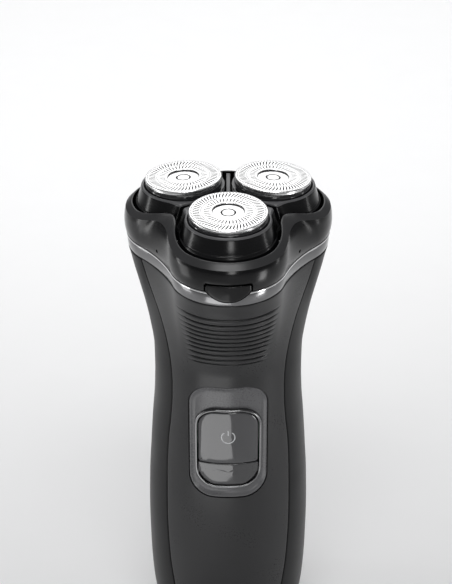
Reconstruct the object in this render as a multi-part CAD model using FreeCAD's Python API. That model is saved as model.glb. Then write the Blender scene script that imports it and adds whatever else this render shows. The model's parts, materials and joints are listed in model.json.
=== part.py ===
import FreeCAD, Part
import math
import os
import time

from FreeCAD import Vector as V

# Rotary electric shaver with three floating heads.
# Frame: origin at the bottom centre of the base, +Z up, front of the
# shaver toward -Y.  All dimensions in millimetres.

# ---------------------------------------------------------------- dimensions
RC = 15.9            # head centres from the shaver's axis
AZ = {"front": -90.0, "right": 30.0, "left": 150.0}
DISC_R = 11.75       # radius of a shaving cap
DISC_Z = 160.0       # top plane of the caps at their centres
DISC_TILT = 3.0      # outward lean of every cap
SEAM_Z = 142.0       # seam between handle and head
BAND_Z = 137.6       # lower edge of the metal trim band
BASE_Z = 8.0         # joint between base cap and case halves
WALL = 2.6           # case wall
GRIP_T = 1.3         # thickness of the soft side grips
HINGE_Y, HINGE_Z = 26.8, 142.15   # head hinge axis, parallel to X
HINGE_R = 1.9        # knuckle radius
PIN_R = 0.8
GEAR_RC = 15.3       # drive gear centres from the shaver's axis
MODULE = 0.6
Z_PINION, Z_GEAR = 14, 37
POD_PIVOT_Z = 149.5
N_RING = 60          # points on every section ring

S60 = math.sin(math.radians(60))


# ------------------------------------------------------------------- helpers
def tre(th_deg, rho, f):
    """Radius of a rounded three-lobed outline: lobes of radius rho on the
    head centres, joined by concave fillets of radius f."""
    a = (th_deg + 90.0) % 120.0
    phi = min(a, 120.0 - a)
    d = RC / 2 + math.sqrt((rho + f) ** 2 - (RC * S60) ** 2)
    fx, fy = d * 0.5, d * S60
    tx = RC + (fx - RC) * rho / (rho + f)
    ty = fy * rho / (rho + f)
    if phi <= math.degrees(math.atan2(ty, tx)):
        p = math.radians(phi)
        return RC * math.cos(p) + math.sqrt(rho ** 2 - (RC * math.sin(p)) ** 2)
    q = math.radians(60.0 - phi)
    return d * math.cos(q) - math.sqrt(max(f ** 2 - (d * math.sin(q)) ** 2, 0))


def lerp(table, x):
    if x <= table[0][0]:
        return table[0][1]
    for (a, b), (c, d) in zip(table, table[1:]):
        if x <= c:
            return b + (d - b) * (x - a) / (c - a)
    return table[-1][1]


BLEND = [(98.7, 1.0), (106.0, 0.985), (113.5, 0.80), (119.6, 0.61),
         (126.0, 0.377), (131.7, 0.18), (136.1, 0.05), (137.6, 0.0)]
HALF_W = [(0.0, 19.0), (1.2, 21.2), (3.5, 22.9), (8.0, 24.3), (16.0, 25.4),
          (28.0, 26.0), (42.0, 26.2), (56.0, 25.9), (68.0, 25.2), (80.0, 24.4),
          (90.0, 23.6), (98.7, 23.35), (137.6, 23.35)]
HALF_D = [(0.0, 17.2), (1.2, 19.4), (3.5, 21.1), (8.0, 22.4), (16.0, 23.3),
          (28.0, 23.9), (42.0, 24.2), (56.0, 24.2), (68.0, 24.0), (80.0, 23.8),
          (90.0, 23.6), (98.7, 23.5), (137.6, 23.5)]


def handle_r(th, z, off=0.0):
    w = lerp(HALF_W, z) - off
    d = lerp(HALF_D, z) - off
    t = math.radians(th)
    oval = 1.0 / math.sqrt((math.cos(t) / w) ** 2 + (math.sin(t) / d) ** 2)
    s = lerp(BLEND, z)
    if s >= 1.0:
        return oval
    rho = 17.4 + 0.3 * max(0.0, (z - BAND_Z) / (SEAM_Z - BAND_Z))
    return (1 - s) * tre(th, rho - off, 48.0 + off) + s * oval


def ring(fn, zfn, n=N_RING):
    pts = []
    for i in range(n):
        th = 360.0 * i / n + 90.0
        r = fn(th)
        z = zfn(th) if callable(zfn) else zfn
        pts.append(V(r * math.cos(math.radians(th)), r * math.sin(math.radians(th)), z))
    c = Part.BSplineCurve()
    c.interpolate(Points=pts, PeriodicFlag=True,
                  Parameters=[i / float(n) for i in range(n + 1)])
    return Part.Wire([c.toShape()])


def handle_loft(levels, off):
    return Part.makeLoft([ring(lambda t, z=z: handle_r(t, z, off), z, 36) for z in levels],
                         True, True)


def handle_prism(zs, off, z0, z1):
    """Straight prism of the handle's outline at height zs, set in by off."""
    return Part.Face(ring(lambda t: handle_r(t, zs, off), z0, 36)).extrude(V(0, 0, z1 - z0))


def tre_prism(rho, f, z0, z1):
    w = ring(lambda t: tre(t, rho, f), z0)
    return Part.Face(w).extrude(V(0, 0, z1 - z0))


def tre_loft(rows, ruled=True):
    return Part.makeLoft([ring(lambda t, a=a, b=b: tre(t, a, b), z) for a, b, z in rows],
                         True, ruled)


def box(x0, x1, y0, y1, z0, z1):
    return Part.makeBox(x1 - x0, y1 - y0, z1 - z0, V(x0, y0, z0))


def cyl(r, z0, z1, x=0.0, y=0.0):
    return Part.makeCylinder(r, z1 - z0, V(x, y, z0))


def cyl_x(r, x0, x1, y, z):
    return Part.makeCylinder(r, x1 - x0, V(x0, y, z), V(1, 0, 0))


def cyl_y(r, y0, y1, x, z):
    return Part.makeCylinder(r, y1 - y0, V(x, y0, z), V(0, 1, 0))


def rrect_y(w, z0, z1, rad, y0, y1, x=0.0):
    """Rounded rectangle in the XZ plane, extruded along Y."""
    b = box(x - w / 2, x + w / 2, y0, y1, z0, z1)
    edges = [e for e in b.Edges
             if abs(abs(e.tangentAt(e.FirstParameter).y) - 1) < 1e-6]
    return b.makeFillet(rad, edges)


def tilted(shape, az, tilt=DISC_TILT):
    """Local frame (x radial, z along the cap axis, origin at the cap's top
    centre) to the shaver's frame."""
    s = shape.copy()
    s.rotate(V(0, 0, 0), V(0, 1, 0), tilt)
    s.rotate(V(0, 0, 0), V(0, 0, 1), az)
    a = math.radians(az)
    s.translate(V(RC * math.cos(a), RC * math.sin(a), DISC_Z))
    return s


def coil(radius, wire, height, turns, base=V(0, 0, 0), axis=V(0, 0, 1)):
    """Round-wire compression spring, its ends one wire radius inside."""
    h = height - wire
    helix = Part.makeHelix(h / turns, h, radius)
    prof = Part.Wire([Part.makeCircle(wire / 2, V(radius, 0, 0), V(0, 1, 0))])
    s = Part.Wire(helix.Edges).makePipeShell([prof], True, True)
    s.translate(V(0, 0, wire / 2))
    if (axis - V(0, 0, 1)).Length > 1e-6:
        s.rotate(V(0, 0, 0), V(0, 0, 1).cross(axis), math.degrees(V(0, 0, 1).getAngle(axis)))
    s.translate(base)
    return s


def screw(r_head, h_head, r_shank, length, x, y, z, up=True):
    """Pan-head screw; z is the seat of the head, the shank goes down."""
    sg = 1.0 if up else -1.0
    head = Part.makeCylinder(r_head, h_head, V(x, y, z), V(0, 0, sg))
    shank = Part.makeCylinder(r_shank, length, V(x, y, z), V(0, 0, -sg))
    slot = Part.makeBox(r_head * 1.2, 0.4, 0.5)
    slot.translate(V(x - r_head * 0.6, y - 0.2, z + sg * h_head - (0.5 if up else 0.0)))
    slot2 = slot.copy()
    slot2.rotate(V(x, y, 0), V(0, 0, 1), 90)
    return head.fuse(shank).removeSplitter().cut(slot.fuse(slot2))


def gear(teeth, module, z0, z1, phase_deg, addendum=0.8, dedendum=1.1, backlash=0.07):
    """Involute spur gear about the Z axis; phase_deg is the direction of the
    middle of one tooth."""
    rp = module * teeth / 2.0
    rb = rp * math.cos(math.radians(20))
    ra = rp + addendum * module
    rf = rp - dedendum * module
    half = math.pi / (2 * teeth) - backlash / (2 * rp)

    def inv(a):
        return math.tan(a) - a
    inv20 = inv(math.radians(20))
    flank = []
    r0 = max(rb, rf)
    for k in range(4):
        r = r0 + (ra - r0) * k / 3.0
        al = math.acos(min(1.0, rb / r))
        flank.append((r, half + inv20 - inv(al)))
    pts = []
    for i in range(teeth):
        c = math.radians(phase_deg) + 2 * math.pi * i / teeth
        low = (rf, flank[0][1])
        for r, h in [low] + flank if rf < r0 - 1e-6 else flank:
            pts.append(V(r * math.cos(c - h), r * math.sin(c - h), z0))
        for r, h in reversed([low] + flank if rf < r0 - 1e-6 else flank):
            pts.append(V(r * math.cos(c + h), r * math.sin(c + h), z0))
    pts.append(pts[0])
    return Part.Face(Part.makePolygon(pts)).extrude(V(0, 0, z1 - z0))


T0 = time.time()


def tick(label):
    print("%-16s %6.1f s" % (label, time.time() - T0), flush=True)


PARTS = {}


def keep(name, *shapes):
    """Register one node; several shapes stay separate solids."""
    sol = []
    for s in shapes:
        sol += s.Solids
    PARTS[name] = Part.makeCompound(sol) if len(sol) > 1 else sol[0]


# ================================================================ handle case
LEVELS = [BASE_Z, 16, 28, 42, 56, 68, 80, 90, 98.7, 106, 113.5, 119.6, 126, 131.7, BAND_Z]
outer = handle_loft(LEVELS, 0.0)
core = handle_loft(LEVELS, GRIP_T)
inner = handle_loft(LEVELS, WALL)

# the soft grips cover both flanks behind this split line (half width, height)
SPLIT = [(33.0, 137.5), (27.5, 134.0), (24.6, 130.0), (22.6, 126.0), (20.8, 121.5),
         (18.9, 114.5), (17.8, 107.0), (17.5, 101.0), (17.6, 95.0), (18.2, 86.5),
         (19.0, 79.0), (19.6, 66.0), (19.8, 50.0), (19.2, 34.0), (17.6, 20.0), (15.8, BASE_Z)]
c = Part.BSplineCurve()
c.interpolate([V(x, -45, z) for x, z in SPLIT])
tail = [V(15.8, -45, BASE_Z), V(50, -45, BASE_Z), V(50, -45, 137.5), V(33.0, -45, 137.5)]
side_r = Part.Face(Part.Wire([c.toShape()] + [Part.makeLine(a, b) for a, b in
                                              zip(tail, tail[1:])])).extrude(V(0, 90, 0))
side_l = side_r.mirror(V(0, 0, 0), V(1, 0, 0))
tick("lofts")
skin = outer.cut(core)
tick("skin")
grip_r = skin.common(side_r)
grip_l = skin.common(side_l)
mid = skin.cut(side_r).cut(side_l)
front_panel = mid.common(box(-40, 40, -40, 0, 0, 150))
rear_panel = mid.common(box(-40, 40, 0, 40, 0, 150))
tick("grips")
wall = core.cut(inner)
front_half = wall.common(box(-40, 40, -40, 0, 0, 150))
rear_half = wall.common(box(-40, 40, 0, 40, 0, 150))
tick("walls")

# fine horizontal grooves across the front panel below the trim band
RIB_Z = [131.6, 129.3, 127.3, 125.5, 123.8, 121.9, 120.1, 118.4, 116.3, 114.2, 112.4]

# control recess in the front
PANEL_W, PANEL_Z0, PANEL_Z1 = 24.6, 62.0, 103.0
recess = rrect_y(PANEL_W, PANEL_Z0, PANEL_Z1, 7.5, -30, -15)
front_half = front_half.cut(recess)
front_panel = front_panel.cut(recess)

# ------------------------------------------------------------------ base cap
base_levels = [0.0, 1.2, 3.5, BASE_Z]
base = handle_loft(base_levels, 0.0)
base = base.fuse(handle_prism(BASE_Z, WALL + 0.1, BASE_Z, 11.0)).removeSplitter()
base = base.cut(handle_prism(BASE_Z, WALL + 1.5, 2.4, 12.0))
# charging inlet opening in the underside, toward the back
SOCK_Y = 6.0
base = base.cut(Part.makeBox(12.4, 8.4, 6, V(-6.2, SOCK_Y - 4.2, -1)))
keep("base_cap", base)

sock = Part.makeBox(12.4, 8.4, 12.0, V(-6.2, SOCK_Y - 4.2, 0.4))
sock = sock.cut(Part.makeBox(9.2, 5.2, 9.0, V(-4.6, SOCK_Y - 2.6, 0.4)))
sock = sock.cut(cyl(0.6, 8, 13, -2.2, SOCK_Y)).cut(cyl(0.6, 8, 13, 2.2, SOCK_Y))
keep("charging_socket", sock)
keep("charging_pins",
     cyl(0.6, 5.2, 14.4, -2.2, SOCK_Y), cyl(0.6, 5.2, 14.4, 2.2, SOCK_Y))
tick("base")

# ------------------------------------------------------------------ trim band
BAND_LV = [BAND_Z, 139.8, SEAM_Z]
band = handle_loft(BAND_LV, 0.0)
band = band.cut(handle_loft(BAND_LV, 2.0))
tick("band")

# rear hinge bracket: two knuckles and a foot that hooks into the band
br = None
for x0, x1 in ((-11.0, -6.3), (6.3, 11.0)):
    k = cyl_x(HINGE_R, x0, x1, HINGE_Y, HINGE_Z)
    k = k.fuse(box(x0, x1, 23.0, HINGE_Y, 138.6, 141.6))
    br = k if br is None else br.fuse(k)
br = br.fuse(box(-11.0, 11.0, 23.0, 23.9, 138.6, 141.6)).removeSplitter()
br = br.cut(cyl_x(PIN_R, -12, 12, HINGE_Y, HINGE_Z))
band = band.cut(br)

# release button pocket through the front of the band
BTN_W, BTN_TOP, BTN_BOT = 13.6, 144.5, 139.1


def d_shape(grow, y0, y1, top):
    """Half-moon outline: flat top, arched bottom, extruded along Y."""
    w = BTN_W / 2 + grow
    zb = BTN_BOT - grow
    zs = 142.6
    a, b, c_ = V(-w, y0, zs), V(0, y0, zb), V(w, y0, zs)
    e = [Part.Arc(a, b, c_).toShape(), Part.makeLine(c_, V(w, y0, top)),
         Part.makeLine(V(w, y0, top), V(-w, y0, top)), Part.makeLine(V(-w, y0, top), a)]
    return Part.Face(Part.Wire(e)).extrude(V(0, y1 - y0, 0))


band = band.cut(d_shape(0.35, -36, -27.8, 146.0))
keep("trim_band", band)
keep("hinge_bracket", br)
keep("hinge_pin", cyl_x(PIN_R, -11.6, 11.6, HINGE_Y, HINGE_Z))

# release button: its stem passes through the band and carries a retaining
# flange behind the wall
btn = d_shape(0.0, -33.9, -28.4, BTN_TOP)
btn = btn.common(Part.makeCylinder(19.0, 12, V(0, -14.9, 136)))
btn = btn.fuse(box(-8.6, 8.6, -28.4, -27.6, 139.6, 141.7)).removeSplitter()
keep("release_button", btn)

# ------------------------------------------------------- drive deck and plates
deck = handle_prism(138.0, WALL + 0.2, 137.3, 137.6).fuse(
    handle_prism(137.6, 2.1, 137.6, 139.2)).removeSplitter()
deck = deck.cut(box(-11.1, 11.1, 22.9, 30, 130, 145))
# shallow pocket under the release button, and the stop behind it
deck = deck.cut(box(-9.2, 9.2, -40, -25.9, 138.7, 145))
stop = box(-4.0, 4.0, -25.9, -24.9, 138.6, 143.2)
deck = deck.fuse(stop).removeSplitter()
SCREW_AZ = (-30.0, 90.0, 210.0)
scr = []
for a in SCREW_AZ:
    x, y = 17.5 * math.cos(math.radians(a)), 17.5 * math.sin(math.radians(a))
    s = screw(1.6, 1.0, 0.8, 9.0, x, y, 139.2)
    scr.append(s)
    deck = deck.cut(cyl(0.8, 130, 139.2, x, y))
for n, a in AZ.items():
    x, y = GEAR_RC * math.cos(math.radians(a)), GEAR_RC * math.sin(math.radians(a))
    deck = deck.cut(cyl(2.6, 130, 145, x, y))
    collar = cyl(4.2, 139.2, 140.6, x, y).cut(cyl(2.6, 139.2, 140.6, x, y))
    deck = deck.fuse(collar)
deck = deck.removeSplitter()
keep("drive_deck", deck)
keep("deck_screws", *scr)

# rubber seal lying on the deck along the inside of the band
seal = handle_prism(138.0, 2.1, 139.2, 140.4).cut(handle_prism(138.0, 3.5, 139.0, 141.0))
seal = seal.cut(box(-10.5, 10.5, -40, -24, 139, 141)).cut(box(-11.1, 11.1, 22.9, 30, 130, 145))
keep("deck_seal", seal)
tick("deck")

# gear plate carries motor and axle pins; ends rest on three posts to the deck
gp = handle_prism(127.0, WALL + 0.1, 127.0, 128.8).cut(cyl(1.6, 120, 130))
posts = []
for a in SCREW_AZ:
    x, y = 17.5 * math.cos(math.radians(a)), 17.5 * math.sin(math.radians(a))
    gp = gp.fuse(cyl(2.0, 128.8, 137.3, x, y).cut(cyl(0.8, 130.2, 140, x, y)))
gp = gp.removeSplitter()
axles = []
for n, a in AZ.items():
    x, y = GEAR_RC * math.cos(math.radians(a)), GEAR_RC * math.sin(math.radians(a))
    gp = gp.cut(cyl(1.0, 127, 130, x, y))
    axles.append(cyl(1.0, 127.0, 137.5, x, y))
msc = []
for sx in (-6.5, 6.5):
    gp = gp.cut(cyl(0.8, 120, 130, sx, 0))
    msc.append(screw(1.5, 0.7, 0.8, 4.3, sx, 0, 128.8))
# the case halves carry a ledge ring that the gear plate sits on
ledge = handle_prism(126.0, WALL - 0.5, 125.4, 127.0).cut(handle_prism(126.0, WALL + 1.4, 125.0, 128.0))
front_half = front_half.fuse(ledge.common(box(-40, 40, -40, 0, 0, 150)))
rear_half = rear_half.fuse(ledge.common(box(-40, 40, 0, 40, 0, 150)))
tick("ledge")
keep("gear_plate", gp)
keep("gear_axles", *axles)
keep("motor_screws", *msc)

# ------------------------------------------------------------------ motor
MOT_R, MOT_Z0, MOT_Z1 = 10.0, 100.0, 127.0
can = cyl(MOT_R, MOT_Z0, MOT_Z1).cut(cyl(8.6, MOT_Z0 + 1.2, MOT_Z1 - 2.6))
can = can.cut(cyl(1.05, 95, 130))
for sx in (-6.5, 6.5):
    can = can.cut(cyl(0.8, 124.4, 128, sx, 0))
keep("motor_case", can)
rotor = cyl(7.6, 104.0, 121.5).cut(cyl(1.0, 100, 125))
slots = None
for k in range(3):
    a = math.radians(120 * k + 30)
    b = Part.makeBox(9, 1.6, 17.5, V(2.8, -0.8, 104.0))
    b.rotate(V(0, 0, 0), V(0, 0, 1), 120 * k + 30)
    rotor = rotor.cut(b)
rotor = rotor.fuse(cyl(1.0, 98.6, 133.4)).removeSplitter()
keep("motor_rotor", rotor)
keep("motor_pinion", gear(Z_PINION, MODULE, 129.8, 133.2, -90.0).cut(cyl(1.0, 125, 135)))

# ------------------------------------------------------- drive gears, spindles
PINION_PHASE = -90.0
for n, a in AZ.items():
    u = ((a - PINION_PHASE) / (360.0 / Z_PINION)) % 1.0
    v = 0.5 - u
    phase = a + 180.0 - v * (360.0 / Z_GEAR)
    x, y = GEAR_RC * math.cos(math.radians(a)), GEAR_RC * math.sin(math.radians(a))
    g = gear(Z_GEAR, MODULE, 130.0, 133.0, phase)
    g = g.fuse(cyl(3.4, 129.4, 136.6)).removeSplitter()
    g = g.cut(cyl(1.05, 120, 140)).cut(cyl(2.05, 133.6, 140))
    g.translate(V(x, y, 0))
    keep("drive_gear_" + n, g)
    # splined spindle: round shank, flat driving blade on top, blade along Y
    sp = cyl(2.0, 133.6, 144.0).cut(cyl(1.05, 130, 138.0))
    blade = box(-0.7, 0.7, -2.2, 2.2, 143.8, 147.2).common(
        Part.makeCone(2.0, 1.5, 3.4, V(0, 0, 143.8)))
    sp = sp.fuse(blade).removeSplitter()
    sp.translate(V(x, y, 0))
    keep("drive_spindle_" + n, sp)
    tick("gear " + n)

# ============================================================ handle internals
# battery
BAT_Y = 3.0
bat = cyl(7.0, 30.0, 79.0, 0, BAT_Y).fuse(cyl(2.6, 79.0, 80.0, 0, BAT_Y)).removeSplitter()
keep("battery_cell", bat)
keep("battery_tabs",
     box(-2.5, 2.5, -10.4, BAT_Y + 2.0, 80.0, 80.3).fuse(box(-2.5, 2.5, -14.0, -10.4, 80.0, 80.3)),
     box(-2.5, 2.5, -14.0, BAT_Y + 2.0, 29.7, 30.0))

# chassis: back plate, motor cradle, battery shelves
fr = box(-12.0, 12.0, 10.4, 12.4, 12.0, 124.0)
fr = fr.fuse(box(-12.0, 12.0, -12.0, 10.4, 26.0, 28.0))
fr = fr.fuse(box(-12.0, 12.0, -12.0, 10.4, 82.0, 84.0))
fr = fr.fuse(box(-12.0, 12.0, -12.0, 10.4, 96.0, 98.0))
fr = fr.fuse(box(-12.0, -10.4, -4.0, 10.4, 28.0, 82.0))
fr = fr.fuse(box(10.4, 12.0, -4.0, 10.4, 28.0, 82.0)).removeSplitter()
fr = fr.cut(box(-3.5, 3.5, -13, 2, 25, 29))
fr = fr.cut(cyl(2.2, 94, 101))
PCB_Y = -14.0
pcb = box(-10.5, 10.5, PCB_Y - 1.0, PCB_Y, 22.0, 96.0)
fr = fr.fuse(box(-9.0, 9.0, -14.0, -12.0, 26.0, 28.0)).fuse(
    box(-9.0, 9.0, -14.0, -12.0, 96.0 - 14.0, 84.0)).removeSplitter()
fr = fr.cut(box(-3.5, 3.5, -15, 2, 25, 29)).cut(box(-3.5, 3.5, -15, -9.5, 81, 85))
psc = []
for sx in (-7.5, 7.5):
    for zz in (27.0, 83.0):
        hd = cyl_y(1.4, PCB_Y - 1.8, PCB_Y - 1.0, sx, zz)
        sh = cyl_y(0.6, PCB_Y - 1.0, PCB_Y + 3.5, sx, zz)
        psc.append(hd.fuse(sh).removeSplitter())
        pcb = pcb.cut(cyl_y(0.6, PCB_Y - 1.5, PCB_Y + 0.5, sx, zz))
        fr = fr.cut(cyl_y(0.6, PCB_Y, PCB_Y + 3.5, sx, zz))
keep("inner_frame", fr)
tick("frame")
keep("pcb_screws", *psc)
# board with its larger components
keep("circuit_board", pcb)
keep("board_components", box(-6.5, -1.5, PCB_Y, PCB_Y + 1.4, 60.0, 66.0),
     box(2.0, 6.0, PCB_Y, PCB_Y + 1.6, 44.0, 50.0),
     cyl_y(2.4, PCB_Y, PCB_Y + 3.2, 0, 36.0),
     box(-1.5, 1.5, PCB_Y - 1.8, PCB_Y - 1.0, 69.0, 71.0))

# rear case: two bosses that the chassis is screwed to
rsc = []
for zz in (20.0, 112.0):
    yo = 24.0
    boss = cyl_y(2.6, 12.4, yo, 0, zz).cut(cyl_y(0.9, 12.4, 19.0, 0, zz)).common(inner)
    rear_half = rear_half.fuse(boss)
    hd = cyl_y(1.7, 10.45, 11.4, 0, zz).fuse(cyl_y(0.85, 11.4, 18.6, 0, zz)).removeSplitter()
    rsc.append(hd)
tick("bosses")
for zz in (20.0, 112.0):
    PARTS["inner_frame"] = PARTS["inner_frame"].cut(cyl_y(0.9, 10, 13, 0, zz)).cut(
        cyl_y(1.8, 10, 11.4, 0, zz))
PARTS["inner_frame"] = PARTS["inner_frame"].Solids[0]
mh = PARTS["inner_frame"]
keep("frame_screws", *rsc)

# ------------------------------------------------------------- control panel
# sunk panel with an opening; inside it a bright ring, the button and a lens
RING_W, RING_Z0, RING_Z1 = 21.2, 65.6, 94.8
BTN_SPLIT = 74.4
PANEL_LV = [56, 62, 68, 74, 80, 85, 90, 94, 98.7, 103, 106]
behind = handle_loft(PANEL_LV, 3.3)
pan = rrect_y(PANEL_W, PANEL_Z0, PANEL_Z1, 7.5, -30, -10).common(handle_loft(PANEL_LV, 1.0))
pan = pan.cut(behind)
pan = pan.cut(rrect_y(RING_W, RING_Z0, RING_Z1, 7.0, -30, -8))
keep("control_panel", pan)
rng = rrect_y(RING_W, RING_Z0, RING_Z1, 7.0, -30, -10)
rng = rng.cut(rrect_y(RING_W - 1.6, RING_Z0 + 0.8, RING_Z1 - 0.8, 6.2, -31, -9))
rng = rng.common(handle_loft(PANEL_LV, 0.1)).cut(behind)
keep("button_ring", rng)
inn = rrect_y(RING_W - 1.6, RING_Z0 + 0.8, RING_Z1 - 0.8, 6.2, -30, -10)
lens = inn.common(box(-20, 20, -30, -8, 60, BTN_SPLIT))
lens = lens.common(handle_loft(PANEL_LV, 0.6)).cut(behind)
keep("indicator_lens", lens)
pb = rrect_y(RING_W - 2.3, BTN_SPLIT - 8.0, RING_Z1 - 1.15, 5.85, -30, -10)
pb = pb.common(box(-20, 20, -30, -8, BTN_SPLIT + 0.35, 100))
pb = pb.common(handle_loft(PANEL_LV, 0.5)).cut(handle_loft(PANEL_LV, 2.9))
pb = pb.fuse(cyl_y(1.5, -21.0, -17.0, 0, 84.5)).removeSplitter()
keep("power_button", pb)
sw = box(-3.0, 3.0, PCB_Y - 2.2, PCB_Y - 1.0, 81.5, 87.5)
keep("power_switch", sw)
keep("power_button_spring", coil(2.3, 0.4, 4.2, 3, V(0, -20.4, 84.5), V(0, 1, 0)))

keep("front_shell", front_half)
keep("rear_shell", rear_half)
keep("left_grip", grip_l)
keep("right_grip", grip_r)
keep("front_panel", front_panel)
keep("rear_panel", rear_panel)
tick("keeps")
# bowed leaf spring between the stop and the release button's flange
leaf = [(-3.7, -25.92), (-3.1, -25.92), (-0.4, -27.3), (0.4, -27.3), (3.1, -25.92), (3.7, -25.92),
        (3.7, -26.15), (3.15, -26.15), (0.5, -27.57), (-0.5, -27.57), (-3.15, -26.15), (-3.7, -26.15)]
leaf = Part.Face(Part.makePolygon([V(x, y, 140.2) for x, y in leaf + leaf[:1]]))
keep("release_spring", leaf.extrude(V(0, 0, 1.2)))

# ======================================================================= head


def notchness(th):
    a = (th + 90.0) % 120.0
    u = min(a, 120.0 - a) / 60.0
    t = max(0.0, min(1.0, (u - 0.42) / 0.58))
    return t * t * (3 - 2 * t)


def rearness(th):
    return 0.5 + 0.5 * math.sin(math.radians(th))


def zrow(lobe, notch, rear=0.0):
    return lambda t: lobe + (notch - lobe) * notchness(t) + rear * rearness(t)


HEAD_ROWS = [  # lobe radius, fillet radius, height at lobe, at notch, rear lift
    (17.95, 48.0, 142.3, 142.3, 0.0),
    (18.30, 46.0, 144.2, 144.3, 0.0),
    (18.40, 40.0, 146.3, 146.8, 0.2),
    (18.20, 28.0, 148.4, 150.4, 0.6),
    (17.85, 15.0, 149.7, 153.3, 1.0),
    (16.10, 7.0, 151.3, 155.2, 1.1),
    (15.70, 7.4, 151.2, 155.1, 1.1),   # inner edge of the rim
    (15.90, 10.0, 150.2, 153.6, 0.8),
    (16.30, 17.0, 148.4, 150.2, 0.5),
    (16.50, 30.0, 146.0, 146.6, 0.2),
    (16.20, 49.5, 142.3, 142.3, 0.0),
]
def row(r, f, a, b, q):
    return ring(lambda t: tre(t, r, f), zrow(a, b, q))


hous = Part.makeLoft([row(*h) for h in HEAD_ROWS[:6]] + [ring(lambda t: 4.0, 153.0)], True, True)
cave = Part.makeLoft([row(*h) for h in reversed(HEAD_ROWS[7:])]
                     + [row(15.7, 7.4, 151.2, 155.1, 1.1), row(15.7, 7.4, 159.0, 159.0, 0.0)],
                     True, True)
hous = hous.cut(cave)
tick("housing loft")

# window for the release button and finger lip above it
hous = hous.cut(box(-7.3, 7.3, -40, -30, 140, 145.2))
# hinge knuckle of the head
kn = cyl_x(HINGE_R, -6.0, 6.0, HINGE_Y, HINGE_Z)
kn = kn.fuse(box(-6.0, 6.0, 22.6, HINGE_Y, 142.35, 144.05)).removeSplitter()
kn = kn.cut(cyl_x(PIN_R + 0.04, -12, 12, HINGE_Y, HINGE_Z))
hous = hous.fuse(kn).removeSplitter()
# room for the two bracket knuckles, coaxial with the hinge
for x0, x1 in ((-11.3, -6.15), (6.15, 11.3)):
    hous = hous.cut(cyl_x(HINGE_R + 0.25, x0, x1, HINGE_Y, HINGE_Z))
# small vent hole in each front flank
for sx in (-1, 1):
    hous = hous.cut(Part.makeCylinder(0.55, 6, V(sx * 21.5, -12.4, 144.6), V(sx * 0.866, -0.5, 0)))

tick("housing")
# pods --------------------------------------------------------------------
POD_ROWS = [(15.3, 18.0, 147.6), (14.65, 12.0, 152.4), (14.35, 12.3, 152.5), (12.9, 10.1, 157.5)]
pod_all = tre_loft(POD_ROWS)
pod_in = tre_loft([(14.2, 19.1, 147.6), (13.5, 13.1, 152.4), (12.7, 10.3, 155.6)])


def wedge(az, gap_a, gap_b, z0=140.0, z1=165.0):
    """120 degree sector about the lobe direction az, its two radial faces
    set back by gap_a (clockwise side) and gap_b (anticlockwise side)."""
    L = 60.0
    aa, ab = math.radians(az - 60), math.radians(az + 60)
    ua, ub = V(math.cos(aa), math.sin(aa), 0), V(math.cos(ab), math.sin(ab), 0)
    na = V(-ua.y, ua.x, 0)      # inward normals
    nb = V(ub.y, -ub.x, 0)
    # intersection of the two offset lines
    m = V(math.cos(math.radians(az)), math.sin(math.radians(az)), 0)
    # solve p.na = gap_a, p.nb = gap_b
    det = na.x * nb.y - na.y * nb.x
    px = (gap_a * nb.y - gap_b * na.y) / det
    py = (na.x * gap_b - nb.x * gap_a) / det
    p = V(px, py, z0)
    pts = [p, p + ua * L, p + ua * L + m * L, p + ub * L + m * L, p + ub * L, p]
    return Part.Face(Part.makePolygon(pts)).extrude(V(0, 0, z1 - z0))


# conical disc spring between the pod floor and the cap's flange
prof = Part.makePolygon([V(9.95, 0, -8.8), V(9.5, 0, -8.8), V(11.0, 0, -5.45),
                         V(11.45, 0, -5.45), V(9.95, 0, -8.8)])
cone_spring = Part.Face(prof).revolve(V(0, 0, 0), V(0, 0, 1), 360)

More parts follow.
